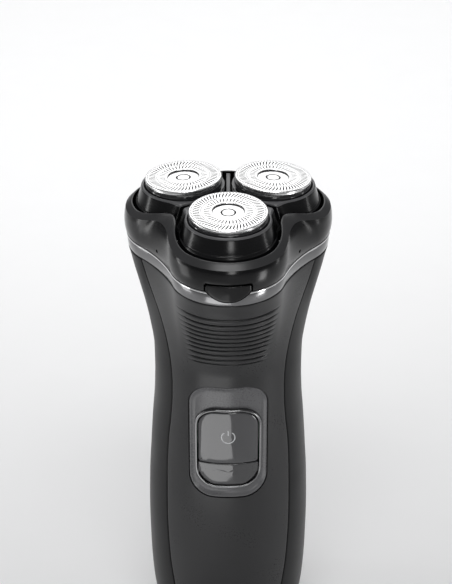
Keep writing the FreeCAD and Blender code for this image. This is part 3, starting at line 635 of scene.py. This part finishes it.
def half_outline(w, z0, z1, rad_top, rad_bot, n=40):
    hw = w / 2
    out = []
    cz = (z0 + z1) / 2
    for q, (sx, sz) in enumerate(((1, 1), (-1, 1), (-1, -1), (1, -1))):
        rad = rad_top if sz > 0 else rad_bot
        ze = z1 if sz > 0 else z0
        for k in range(n):
            t = (k + 0.5) / n
            if t < 0.25:
                s = t / 0.25
                out.append((sx * hw, cz + (ze - sz * rad - cz) * s) if q % 2 == 0
                           else (sx * (hw - rad) * s, ze))
            elif t > 0.75:
                s = (1 - t) / 0.25
                out.append((sx * (hw - rad) * s, ze) if q % 2 == 0
                           else (sx * hw, cz + (ze - sz * rad - cz) * s))
            else:
                a = math.radians(90 * q) + (t - 0.25) / 0.5 * math.pi / 2
                out.append((sx * (hw - rad) + rad * math.cos(a),
                            ze - sz * rad + rad * math.sin(a)))
    return np.array(out)


crown = [(0.0, 2.8), (0.0, 0.75), (0.06, 0.60), (0.18, 0.52), (0.4, 0.47), (1.2, 0.42), (2.6, 0.38)]
pbt = plate("power_button_cap", half_outline(18.9, SPLIT_Z + 0.3, 93.6, 5.9, 0.9), crown,
            [M["button"]])
put(pbt, "power_button", "button_gloss", "power_button")
lns = plate("indicator_window", half_outline(19.3, 66.6, SPLIT_Z - 0.02, 0.7, 6.0),
            [(0.0, 2.8), (0.0, 0.8), (0.06, 0.68), (0.18, 0.62), (0.5, 0.6)], [M["lens"]])
put(lns, "handle", "lens_smoke", "indicator_lens")

# generic power mark: thin open ring and bar, just above the button face
def arc_mark():
    b = Build()
    cx, cz, r = 0.0, 84.6, 2.1
    a = np.radians(np.linspace(125, 415, 40))
    rows = []
    for rr_, off in ((r - 0.17, 0.40), (r - 0.15, 0.33), (r + 0.15, 0.33), (r + 0.17, 0.40)):
        xz = np.stack([cx + rr_ * np.cos(a), cz + rr_ * np.sin(a)], -1)
        rows.append(on_front(xz, off))
    b.grid(np.array(rows))
    rows = []
    zz = np.linspace(cz + 0.7, cz + 2.5, 6)
    for dx, off in ((-0.17, 0.40), (-0.15, 0.33), (0.15, 0.33), (0.17, 0.40)):
        rows.append(on_front(np.stack([np.full(6, dx), zz], -1), off))
    b.grid(np.array(rows))
    return b.object("power_mark", [M["icon"]], 60)


mk = arc_mark()
put(mk, "power_button", "trim_metal")


# --------------------------------------------------------------- rings round the handle
def loop(rows, n=240, wrap_v=True):
    """rows: (radius function of angle, z or function of angle)."""
    th = np.arange(n) * 360.0 / n + 90.0
    G = []
    for fr, fz in rows:
        r = fr(th)
        z = fz(th) if callable(fz) else np.full(n, float(fz))
        G.append(np.stack([r * np.cos(np.radians(th)), r * np.sin(np.radians(th)), z], -1))
    return np.array(G)


def hr(z, off):
    return lambda th: handle_r(th, z, off)


band_rows = [(hr(137.6, 2.0), 137.62), (hr(137.6, 0.30), 137.62), (hr(137.6, 0.10), 137.70),
             (hr(137.8, 0.0), 137.92), (hr(139.0, -0.08), 139.0), (hr(140.2, -0.08), 140.2),
             (hr(141.0, -0.02), 141.00), (hr(141.25, 0.06), 141.25), (hr(141.32, -0.08), 141.32),
             (hr(141.5, -0.20), 141.50), (hr(141.75, -0.16), 141.76), (hr(141.95, 0.02), 141.94),
             (hr(142.0, 0.35), 141.99), (hr(142.0, 2.0), 141.99)]
bb = Build()
BG = loop(band_rows)
bmat = np.zeros(BG.shape[:2], int)
# the bead rows take the bright bead metal: a painted highlight line along the top of the band
bmat[7:12] = 1
bb.grid(BG, wrap_u=True, wrap_v=True, mat=bmat)
band = bb.object("trim_band_bright", [M["trim"], M["bead"]], 50)


def d_outline(grow, top, n=30):
    """Half-moon outline in x,z: arched bottom, flat top, rounded corners."""
    w = 6.8 + grow
    zb = 139.1 - grow
    zs = 142.6
    # circle through (-w, zs), (0, zb), (w, zs)
    R = (w * w + (zs - zb) ** 2) / (2 * (zs - zb))
    cz = zb + R
    a0 = math.asin(w / R)
    pts = [(R * math.sin(a), cz - R * math.cos(a)) for a in np.linspace(-a0, a0, 2 * n)]
    rc = 0.7
    pts += [(w, zs + 0.3)]
    pts += [(w - rc + rc * math.cos(a), top - rc + rc * math.sin(a))
            for a in np.linspace(0, math.pi / 2, 8)]
    pts += [(x, top) for x in np.linspace(w - rc - 0.4, -w + rc + 0.4, 20)]
    pts += [(-w + rc - rc * math.sin(a), top - rc + rc * math.cos(a))
            for a in np.linspace(0, math.pi / 2, 8)]
    pts += [(-w, zs + 0.3)]
    return np.array(pts)


def on_lobe(xz, off):
    """On the front lobe of the band: a cylinder about the front head centre."""
    x, z = xz[:, 0], xz[:, 1]
    R = 17.62 - np.broadcast_to(off, x.shape)
    return np.stack([x, -RC - np.sqrt(np.maximum(R ** 2 - x ** 2, 0.5)), z], -1)


boolean(band, prism(d_outline(0.30, 146.0), -37, -29.5))
# room for the hinge bracket's foot
def boxmesh(x0, x1, y0, y1, z0, z1):
    b = Build()
    o = np.array([(x0, z0), (x1, z0), (x1, z1), (x0, z1)])
    A = np.stack([o[:, 0], np.full(4, y0), o[:, 1]], -1)
    B = A.copy(); B[:, 1] = y1
    i = b.grid(np.array([A, B]), wrap_u=True)
    b.cap(i[0][::-1]); b.cap(i[1])
    return b.object("box_tmp", [M["dark"]], 40)


for x0, x1 in ((-11.02, -6.28), (6.28, 11.02)):
    boolean(band, boxmesh(x0, x1, 22.9, 30, 138.58, 143))
put(band, "handle", "trim_metal", "trim_band")

# release button: crowned half-moon with a fine lip
bt = Build()
ol = d_outline(0.0, 144.5)
cen = np.array([0.0, 142.2])
prof = [(0.0, 3.0), (0.0, 0.05), (0.03, -0.10), (0.10, -0.21), (0.22, -0.29), (0.40, -0.33)]
G = [on_lobe(ol + (cen - ol) / np.linalg.norm(cen - ol, axis=1)[:, None] * d, o) for d, o in prof]
last = ol + (cen - ol) / np.linalg.norm(cen - ol, axis=1)[:, None] * 0.40
for t in (0.92, 0.82, 0.68, 0.5, 0.3, 0.12):
    G.append(on_lobe(cen + (last - cen) * t, -0.34 - 0.10 * (1 - t)))
ii = bt.grid(np.array(G), wrap_u=True)
bt.fan(ii[-1], on_lobe(np.array([cen]), -0.44)[0])
bt.cap(ii[0][::-1])
rb = bt.object("release_button_cap", [M["black_gloss"]], 50)
put(rb, "release_button", "black_gloss", "release_button")

# --------------------------------------------------------------- base cap
bl = [(hr(8.0, 4.2), 7.98), (hr(8.0, 0.30), 7.98), (hr(8.0, 0.10), 7.92), (hr(7.8, 0.0), 7.75)]
for z in (7.0, 6.0, 5.0, 4.2, 3.5, 2.8, 2.2, 1.6, 1.2, 0.8, 0.5, 0.25, 0.1, 0.0):
    bl.append((hr(z, 0.0), z))
bl += [(lambda th: handle_r(th, 0.0) * 0.97, 0.0), (lambda th: handle_r(th, 0.0) * 0.9, 0.0)]
bc = Build()
th = np.arange(240) * 1.5 + 90.0
gi = bc.grid(loop(bl), wrap_u=True)
# underside with the inlet opening left clear
inlet = []
for t in th:
    c, s = math.cos(math.radians(t)), math.sin(math.radians(t))
    k = min(6.2 / max(abs(c), 1e-6), 4.2 / max(abs(s), 1e-6))
    inlet.append((c * k, 6.0 + s * k, 0.0))
inlet = np.array(inlet)
outer_r = handle_r(th, 0.0) * 0.9
O = np.stack([outer_r * np.cos(np.radians(th)), outer_r * np.sin(np.radians(th)), 0 * th], -1)
prev = gi[-1]
for t in (0.34, 0.67, 1.0):
    P = O * (1 - t) + inlet * t
    cur = bc.pts(P) + np.arange(240)
    for j in range(240):
        j2 = (j + 1) % 240
        bc.f.append((prev[j], prev[j2], cur[j2], cur[j])); bc.m.append(0)
    prev = cur
P = inlet.copy(); P[:, 2] = 2.4
cur = bc.pts(P) + np.arange(240)
for j in range(240):
    j2 = (j + 1) % 240
    bc.f.append((prev[j], prev[j2], cur[j2], cur[j])); bc.m.append(0)
prev = cur
Q = np.stack([(handle_r(th, 8.0) - 4.2) * np.cos(np.radians(th)),
              (handle_r(th, 8.0) - 4.2) * np.sin(np.radians(th)), 0 * th + 2.4], -1)
cur = bc.pts(Q) + np.arange(240)
for j in range(240):
    j2 = (j + 1) % 240
    bc.f.append((prev[j], prev[j2], cur[j2], cur[j])); bc.m.append(0)
    bc.f.append((cur[j], cur[j2], gi[0][j2], gi[0][j])); bc.m.append(0)
base = bc.object("base_cap_skin", [M["black_gloss"]], 40)
put(base, "handle", "black_gloss", "base_cap")


# --------------------------------------------------------------- head housing
def notchness(th):
    a = np.mod(th + 90.0, 120.0)
    u = np.minimum(a, 120.0 - a) / 60.0
    return sstep(0.42, 1.0, u)


def rearness(th):
    return 0.5 + 0.5 * np.sin(np.radians(th))


OUT_ROWS = np.array([  # rho, fillet, z lobe, z notch, rear lift
    (17.60, 48.0, 142.30, 142.30, 0.0),
    (17.85, 48.0, 142.36, 142.36, 0.0),
    (17.98, 47.5, 142.65, 142.65, 0.0),
    (18.30, 46.0, 144.2, 144.3, 0.0),
    (18.42, 40.0, 146.3, 146.8, 0.2),
    (18.22, 28.0, 148.4, 150.4, 0.6),
    (17.90, 15.5, 149.6, 153.2, 1.0)])
BEV_ROWS = np.array([
    (17.90, 15.5, 149.6, 153.2, 1.0),
    (17.10, 11.0, 150.4, 154.2, 1.05),
    (16.30, 7.6, 151.15, 155.05, 1.1),
    (16.08, 7.0, 151.30, 155.2, 1.1),
    (15.85, 7.1, 151.33, 155.22, 1.1),
    (15.72, 7.3, 151.22, 155.1, 1.1)])
IN_ROWS = np.array([
    (15.72, 7.3, 151.22, 155.1, 1.1),
    (15.90, 10.0, 150.2, 153.6, 0.8),
    (16.30, 17.0, 148.4, 150.2, 0.5),
    (16.50, 30.0, 146.0, 146.6, 0.2),
    (16.30, 49.0, 142.32, 142.32, 0.0)])


def dense(rows, n):
    """Resample control rows smoothly (Catmull-Rom through the row table)."""
    k = len(rows)
    P = np.vstack([2 * rows[0] - rows[1], rows, 2 * rows[-1] - rows[-2]])
    out = []
    for i in range(k - 1):
        p0, p1, p2, p3 = P[i], P[i + 1], P[i + 2], P[i + 3]
        for j in range(n):
            t = j / n
            out.append(0.5 * ((2 * p1) + (-p0 + p2) * t + (2 * p0 - 5 * p1 + 4 * p2 - p3) * t * t
                              + (-p0 + 3 * p1 - 3 * p2 + p3) * t ** 3))
    out.append(rows[-1])
    return np.array(out)


def head_grid(rows, n=360):
    th = np.arange(n) * 360.0 / n + 90.0
    G = []
    for rho, f, a, b_, q in rows:
        r = tre(th, rho, f)
        z = a + (b_ - a) * notchness(th) + q * rearness(th)
        G.append(np.stack([r * np.cos(np.radians(th)), r * np.sin(np.radians(th)), z], -1))
    return np.array(G)


def hdense(rows, n):
    out = [rows[0]]
    for a, b_ in zip(rows[:-1], rows[1:]):
        for j in range(1, n + 1):
            out.append(a + (b_ - a) * j / n)
    return np.array(out)


outr = np.vstack([OUT_ROWS[:2], dense(OUT_ROWS[2:], 6)])
rows = np.vstack([outr, hdense(BEV_ROWS, 2)[1:], hdense(IN_ROWS, 3)[1:]])
hb = Build()
HG = head_grid(rows)
hmat = np.zeros(HG.shape[:2], int)
n_out = len(outr) - 1
hmat[n_out:n_out + 2 * (len(BEV_ROWS) - 1)] = 1
hb.grid(HG, wrap_u=True, wrap_v=True, mat=hmat)
hous = hb.object("head_housing_skin", [M["black_gloss"], M["lip"]], 28)
# thumb opening over the release button
boolean(hous, prism(np.array([(-7.2, 141), (7.2, 141), (7.2, 144.6), (6.6, 145.35), (-6.6, 145.35),
                              (-7.2, 144.6)]), -38, -30))
# hinge knuckle and web of the head
kb = Build()
a = np.radians(np.arange(48) * 7.5)
def knuckle_loop(x, r):
    return np.stack([np.full(48, x), 26.8 + r * np.cos(a), 142.15 + r * np.sin(a)], -1)
Gk = [knuckle_loop(-6.0, 0.86), knuckle_loop(-6.0, 1.65), knuckle_loop(-5.75, 1.88),
      knuckle_loop(5.75, 1.88), knuckle_loop(6.0, 1.65), knuckle_loop(6.0, 0.86)]
kb.grid(np.array(Gk), wrap_u=True, wrap_v=True)
kn = kb.object("hinge_knuckle", [M["black_gloss"]], 40)
put(kn, "head", "black_gloss")
wb = boxmesh(-5.7, 5.7, 23.6, 26.0, 142.42, 144.0)
wb.name = "hinge_web"
wb.data.materials.clear(); wb.data.materials.append(M["black_gloss"])
bv = wb.modifiers.new("bevel", "BEVEL"); bv.width = 0.0003; bv.segments = 3
bpy.context.view_layer.update(); apply_mods(wb); resmooth(wb)
put(wb, "head", "black_gloss")
# small vent hole in each front flank
for sx in (-1, 1):
    vb = Build()
    n_ = np.array([sx * 0.866, -0.5, 0.0])
    c0 = np.array([sx * 20.6, -11.9, 144.7])
    t1 = np.array([sx * 0.5, 0.866, 0.0]); t2 = np.array([0, 0, 1.0])
    aa = np.radians(np.arange(24) * 15)
    L = [c0 + n_ * s + 0.55 * (np.cos(aa)[:, None] * t1 + np.sin(aa)[:, None] * t2)
         for s in (0.0, 6.0)]
    i = vb.grid(np.array(L), wrap_u=True)
    vb.cap(i[0][::-1]); vb.cap(i[1])
    boolean(hous, vb.object("vent_tmp", [M["dark"]], 40))
resmooth(hous, 28)
put(hous, "head", "black_gloss", "head_housing")


# --------------------------------------------------------------- pods
POD_R = Curve([(147.6, 15.3), (152.3, 14.66), (152.75, 14.30), (157.5, 13.6)])
POD_F = Curve([(147.6, 18.0), (152.4, 12.0), (157.5, 9.4)])
GAP, GAPR = 0.75, 1.7
TAPER = Curve([(147.6, 0.0), (152.6, 0.0), (153.2, 0.10), (155.0, 0.36), (156.6, 0.62), (157.5, 0.74)])
gaps = {"front": (GAP, GAP), "right": (GAP, GAPR), "left": (GAPR, GAP)}
NPH = 288


def axis_of(az):
    t, a_ = math.radians(TILT), math.radians(az)
    return np.array([math.cos(a_) * math.sin(t), math.sin(a_) * math.sin(t), math.cos(t)])


def pod_outline(az, z, ins, corner=5, taper=0.0):
    """Radial distances about the pod's centre to its outline, inset by ins."""
    ga, gb = [g + ins + 0.12 * taper for g in gaps_cur]
    ar = math.radians(az)
    k = math.tan(math.radians(TILT))
    cc = np.array([RC * math.cos(ar), RC * math.sin(ar)])
    ph = np.radians(np.arange(NPH) * 360.0 / NPH) + ar
    ux, uy = np.cos(ph), np.sin(ph)
    lo, hi = np.zeros(NPH), np.full(NPH, 22.0)
    aa, ab = math.radians(az - 60), math.radians(az + 60)
    na = np.array([-math.sin(aa), math.cos(aa)])
    nb = np.array([math.sin(ab), -math.cos(ab)])
    ins = ins + taper
    rho = float(POD_R(z)) - ins
    for _ in range(36):
        m = (lo + hi) / 2
        x, y = cc[0] + ux * m, cc[1] + uy * m
        r = np.hypot(x, y)
        inside = (r < tre(np.degrees(np.arctan2(y, x)), rho, float(POD_F(z)) + ins)) & \
                 (x * na[0] + y * na[1] > ga) & (x * nb[0] + y * nb[1] > gb)
        lo = np.where(inside, m, lo)
        hi = np.where(inside, hi, m)
    d = (lo + hi) / 2
    if corner:
        kern = np.ones(corner) / corner
        ext = np.concatenate([d[-8:], d, d[:8]])
        d2 = np.convolve(ext, kern, "same")[8:-8]
        d = np.minimum(d, d2)
    return cc, ph, d


for n, az in AZ.items():
    gaps_cur = gaps[n]
    ar = math.radians(az)
    nrm = axis_of(az)
    C = np.array([RC * math.cos(ar), RC * math.sin(ar), DISC_Z])
    b = Build()
    G = []
    zrows = [(147.6, 0.55), (147.62, 0.25), (147.8, 0.05), (148.2, 0.0), (150.0, 0.0),
             (151.8, 0.0), (152.25, 0.0), (152.36, 0.05), (152.42, 0.16), (152.50, 0.17),
             (152.60, 0.08), (152.80, 0.02), (153.2, 0.0), (155.0, 0.0), (156.4, 0.0),
             (156.95, 0.02), (157.18, 0.07), (157.34, 0.14), (157.44, 0.22), (157.49, 0.31),
             (157.5, 0.40)]
    for z, ins in zrows:
        cc, ph, d = pod_outline(az, z, ins, taper=float(TAPER(z)))
        G.append(np.stack([cc[0] + np.cos(ph) * d, cc[1] + np.sin(ph) * d,
                           np.full(NPH, z)], -1))
    nside = len(G)

    def hole_ring(rad, zp):
        """Circle about the disc axis at axial depth zp."""
        c = C + nrm * zp
        e1 = np.array([-math.sin(ar), math.cos(ar), 0.0])
        e2 = np.cross(e1, nrm)
        # order the circle like ph: start at the radial direction
        t = np.radians(np.arange(NPH) * 360.0 / NPH)
        e_r = e2 if e2[0] * math.cos(ar) + e2[1] * math.sin(ar) > 0 else -e2
        return c + rad * (np.cos(t)[:, None] * e_r + np.sin(t)[:, None] * e1)
    top = G[-1]
    H0 = hole_ring(12.55, -2.35)
    H0[:, 2] = 157.5
    for t in (0.33, 0.66, 1.0):
        Pt = top * (1 - t) + H0 * t
        Pt[:, 2] = 157.5
        G.append(Pt)
    h1 = hole_ring(12.32, -2.55); h1[:, 2] = np.minimum(h1[:, 2], 157.46); h1[:, 2] = 157.42
    h2 = hole_ring(12.22, -2.8); h2[:, 2] = 157.2
    G.append(h1); G.append(h2)
    G.append(hole_ring(12.2, -6.0))
    G.append(hole_ring(12.6, -8.6))
    G.append(hole_ring(9.5, -8.75))
    G.append(hole_ring(9.5, -9.9))
    last = G[-1].copy()
    cc, ph, d = pod_outline(az, 149.5, 1.2)
    G.append(np.stack([cc[0] + np.cos(ph) * d, cc[1] + np.sin(ph) * d, np.full(NPH, 149.4)], -1))
    cc, ph, d = pod_outline(az, 147.7, 1.1)
    G.append(np.stack([cc[0] + np.cos(ph) * d, cc[1] + np.sin(ph) * d, np.full(NPH, 147.6)], -1))
    G = np.array(G)
    mm = np.zeros(G.shape[:2], int)
    mm[15:nside + 5] = 1
    b.grid(G, wrap_u=True, wrap_v=True, mat=mm)
    # trunnion pins on the tilt axis
    tt = np.array([-math.sin(ar), math.cos(ar), 0.0])
    for s in (-1, 1):
        e1, e2 = np.array([math.cos(ar), math.sin(ar), 0.0]), np.array([0, 0, 1.0])
        aa = np.radians(np.arange(24) * 15)
        rg_ = [C * np.array([1, 1, 0]) + np.array([0, 0, 149.5]) + tt * s * q_ +
               rad * (np.cos(aa)[:, None] * e1 + np.sin(aa)[:, None] * e2)
               for q_, rad in ((14.4, 0.8), (16.8, 0.8), (17.0, 0.6))]
        i = b.grid(np.array(rg_), wrap_u=True)
        b.cap(i[0][::-1]); b.cap(i[-1])
    pod = b.object("pod_%s_shell" % n, [M["pod_side"], M["pod_top"]], 40)
    put(pod, "pod_" + n, "pod_grey", "pod_" + n)

# --------------------------------------------------------------- caps
def local_to_world(az):
    R1 = Matrix.Rotation(math.radians(TILT), 4, "Y")
    R2 = Matrix.Rotation(math.radians(az), 4, "Z")
    T = Matrix.Translation(Vector((RC * math.cos(math.radians(az)), RC * math.sin(math.radians(az)), DISC_Z)))
    return np.array(T @ R2 @ R1)


def xf(Mx, P):
    P = np.asarray(P, float)
    return P @ Mx[:3, :3].T + Mx[:3, 3]


R_ = DISC_R
N_OUT, N_IN, N_DOT = 60, 40, 75
SUB = 12                     # columns per outer slot pitch
NTH = N_OUT * SUB


def cap_mesh(name, az, spin):
    """Slotted guard: two slotted hair tracks, rings of round holes, a sunk
    plain centre, a rounded edge and a hollow underside."""
    b = Build()
    th = np.arange(NTH) * 2 * math.pi / NTH
    rows = []     # (r, height, kind)
    prof = [(0.00, -0.44, 0), (0.10, -0.45, 0), (0.150, -0.47, 0), (0.155, -0.62, 5), (0.195, -0.62, 5), (0.20, -0.47, 0), (0.25, -0.47, 0),
            (0.30, -0.48, 0), (0.36, -0.48, 0), (0.397, -0.47, 5), (0.412, -0.12, 5),
            (0.418, -0.10, 0), (0.424, -0.03, 0), (0.44, 0.0, 0), (0.470, 0.0, 0),
            (0.474, 0.0, 2), (0.50, 0.0, 2), (0.53, 0.0, 2), (0.56, 0.0, 2), (0.59, 0.0, 2),
            (0.616, 0.0, 2), (0.620, 0.0, 0), (0.635, -0.02, 0), (0.645, -0.06, 0),
            (0.665, -0.06, 0), (0.675, -0.02, 0), (0.682, 0.0, 0), (0.684, 0.0, 3), (0.697, 0.0, 3),
            (0.710, 0.0, 3), (0.712, 0.0, 0), (0.728, 0.0, 0), (0.731, 0.0, 1), (0.76, 0.0, 1),
            (0.80, 0.0, 1), (0.84, 0.0, 1), (0.87, 0.0, 1), (0.897, 0.0, 1), (0.90, 0.0, 0),
            (0.922, 0.0, 0), (0.924, 0.0, 4), (0.938, 0.0, 4), (0.952, 0.0, 4), (0.954, 0.0, 0),
            (0.968, 0.0, 0), (0.982, -0.03, 0), (0.993, -0.12, 0), (1.0, -0.28, 0),
            (1.0, -0.55, 0), (0.992, -0.72, 0), (0.975, -0.80, 0), (0.955, -0.80, 0)]
    G, K, painted_shade_rows = [], [], []
    for q, h, k in prof:
        r = max(q, 0.004) * R_
        swirl = -0.45 * max(0.0, min(q, 0.91) - 0.72) - 0.3 * max(0.0, min(q, 0.62) - 0.47)
        t = th + swirl + spin
        z = np.full(NTH, float(h))
        dep = np.zeros(NTH)
        j = np.arange(NTH)
        if k == 1:
            p = j % SUB
            dep = np.where((p >= 4) & (p <= 7), 0.45, 0.0)
        elif k == 2:
            p = (j * N_IN / NTH) % 1.0
            dep = np.where((p > 0.34) & (p < 0.66), 0.40, 0.0)
        elif k in (3, 4):
            p = (j * N_DOT / NTH) % 1.0
            dep = np.where((p > 0.34) & (p < 0.66), 0.35, 0.0)
        z = z - dep
        G.append(np.stack([r * np.cos(t), r * np.sin(t), z], -1))
        K.append((dep > 0).astype(int))
        painted_shade_rows.append(k == 5)
    G, K = np.array(G), np.array(K)
    # underside
    und = []
    for r, z in ((11.2, -0.82), (11.2, -4.75), (11.05, -4.8), (10.65, -4.8), (10.6, -4.7), (10.6, -1.0),
                 (10.4, -0.86), (5.3, -0.86), (5.2, -1.15), (0.05, -1.2)):
        und.append(np.stack([r * np.cos(th + spin), r * np.sin(th + spin), np.full(NTH, z)], -1))
    G = np.concatenate([G, np.array(und)])
    # slot floors, hole floors and the centre recess rows take the near-black material: painted shade for the
    # dark depth of the slots and the shadowed recess walls
    mat = np.zeros(G.shape[:2], int)
    for i in range(len(K) - 1):
        kk = K[i] | np.roll(K[i], -1) | K[i + 1] | np.roll(K[i + 1], -1)
        mat[i] = 1 if painted_shade_rows[i] and painted_shade_rows[i + 1] else kk
    mat[len(K) + 3:] = 2
    idx = b.grid(xf(local_to_world(az), G.reshape(-1, 3)).reshape(G.shape), wrap_u=True, mat=mat)
    b.cap(idx[0][::-1]); b.cap(idx[-1], 2)
    return b.object(name, [M["cap"], M["slot_dark"], M["cutter"]], 30)


for n, az in AZ.items():
    cp = cap_mesh("shaving_cap_" + n, az, {"front": 0.0, "right": 0.03, "left": 0.05}[n])
    put(cp, "cap_" + n, "cap_steel", "cap_" + n)
    rmb = Build()
    tt = np.arange(192) * 2 * math.pi / 192
    pr = [(11.25, -5.38), (12.35, -5.38), (12.5, -5.25), (12.5, -4.75), (12.35, -4.62), (11.9, -4.58),
          (11.88, -3.1), (11.84, -2.2), (11.78, -1.75), (11.66, -1.58), (11.5, -1.52), (11.25, -1.55)]
    Gm = np.array([np.stack([r * np.cos(tt), r * np.sin(tt), np.full(192, z)], -1) for r, z in pr])
    rmb.grid(xf(local_to_world(az), Gm.reshape(-1, 3)).reshape(Gm.shape), wrap_u=True, wrap_v=True)
    rmo = rmb.object("cap_rim_%s_ring" % n, [M["rim"]], 40)
    put(rmo, "cap_" + n, "rim_dark", "cap_rim_" + n)
    # conical disc spring between the pod's ledge and the rim ring
    spb = Build()
    ps = [(9.97, -8.78), (9.52, -8.78), (11.0, -5.50), (11.43, -5.50)]
    Gs = np.array([np.stack([r * np.cos(tt), r * np.sin(tt), np.full(192, z)], -1) for r, z in ps])
    L = local_to_world(az)
    spb.grid(xf(L, Gs.reshape(-1, 3)).reshape(Gs.shape), wrap_u=True, wrap_v=True)
    spo = spb.object("cap_spring_%s_disc" % n, [M["steel"]], 40)
    put(spo, "pod_" + n, "steel", "cap_spring_" + n)
    base = xf(L, np.array([[0.0, 0.0, -8.8]]))[0] * 0.001
    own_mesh(spo)

# rib between the rear pods
rbm = boxmesh(-0.62, 0.62, 1.7, 15.0, 144.5, 157.55)
rbm.name = "centre_rib_bar"
rbm.data.materials.clear(); rbm.data.materials.append(M["pod_top"])
bv = rbm.modifiers.new("bevel", "BEVEL"); bv.width = 0.00022; bv.segments = 3
bpy.context.view_layer.update(); apply_mods(rbm); resmooth(rbm)
put(rbm, "head", "pod_grey", "centre_rib")

# --------------------------------------------------------------- stage and light
fb = Build()
fb.grid(np.array([[(-3000, -3000, 0), (3000, -3000, 0)], [(-3000, 3000, 0), (3000, 3000, 0)]], float))
fm = material("pale_floor", (0.86, 0.86, 0.865), 0.75, noise=60, bump=0.02, cvar=0.01)
floor = fb.object("floor_sheet", [fm], 40)

world = bpy.data.worlds.new("studio")
bpy.context.scene.world = world
world.use_nodes = True
bg = world.node_tree.nodes["Background"]
bg.inputs["Color"].default_value = (0.95, 0.96, 0.97, 1)
bg.inputs["Strength"].default_value = 0.16


def area(name, loc, target, sx, sy, power, color=(1, 1, 1)):
    li = bpy.data.lights.new(name, "AREA")
    li.shape = "RECTANGLE"
    li.size, li.size_y = sx, sy
    li.energy = power
    li.color = color
    ob = bpy.data.objects.new(name, li)
    bpy.context.scene.collection.objects.link(ob)
    ob.location = loc
    d = Vector(target) - Vector(loc)
    ob.rotation_euler = d.to_track_quat("-Z", "Y").to_euler()
    return ob


def spot(name, loc, target, power, size_deg, blend, radius=0.1):
    li = bpy.data.lights.new(name, "SPOT")
    li.energy = power
    li.spot_size = math.radians(size_deg)
    li.spot_blend = blend
    li.shadow_soft_size = radius
    ob = bpy.data.objects.new(name, li)
    bpy.context.scene.collection.objects.link(ob)
    ob.location = loc
    d = Vector(target) - Vector(loc)
    ob.rotation_euler = d.to_track_quat("-Z", "Y").to_euler()
    return ob


spot("floor_wash", (0.0, 0.75, 1.9), (0.0, 0.66, 0.0), 86.0, 42, 0.7, 0.2)
area("top_soft", (-0.05, 0.16, 0.66), (0, 0, 0.14), 0.26, 0.26, 0.6)
area("back_panel", (0.0, 0.80, 0.62), (0, 0, 0.15), 1.0, 0.50, 2.3)
area("left_strip", (-0.50, 0.05, 0.16), (0, 0, 0.12), 0.05, 0.4, 0.30)
area("right_strip", (0.52, 0.05, 0.16), (0, 0, 0.12), 0.03, 0.4, 0.14)
area("low_right", (0.228, -0.13, 0.012), (0.01, -0.02, 0.12), 0.06, 0.14, 0.16)
area("low_left", (-0.26, -0.04, 0.012), (-0.01, -0.02, 0.12), 0.10, 0.22, 0.13)
area("low_front", (-0.045, -0.120, 0.006), (-0.02, -0.02, 0.12), 0.12, 0.12, 0.085)
area("front_mid", (0.08, -0.74, 0.19), (0, 0, 0.15), 0.14, 0.16, 0.42)
area("lip_light", (0.0, -0.38, 0.80), (0, 0, 0.15), 0.50, 0.24, 2.0)

cam = bpy.data.cameras.new("camera")
cam.lens = 103.45
cam.sensor_width = 36.0
cam.clip_start = 0.01
cam_ob = bpy.data.objects.new("camera", cam)
bpy.context.scene.collection.objects.link(cam_ob)
e_ = math.radians(29.6)
cam_ob.location = (-0.00069, -0.5245 * math.cos(e_), 0.12362 + 0.5245 * math.sin(e_))
cam_ob.rotation_euler = (math.radians(90 - 29.6), 0, 0)
bpy.context.scene.camera = cam_ob
bpy.context.scene.view_settings.view_transform = "Standard"
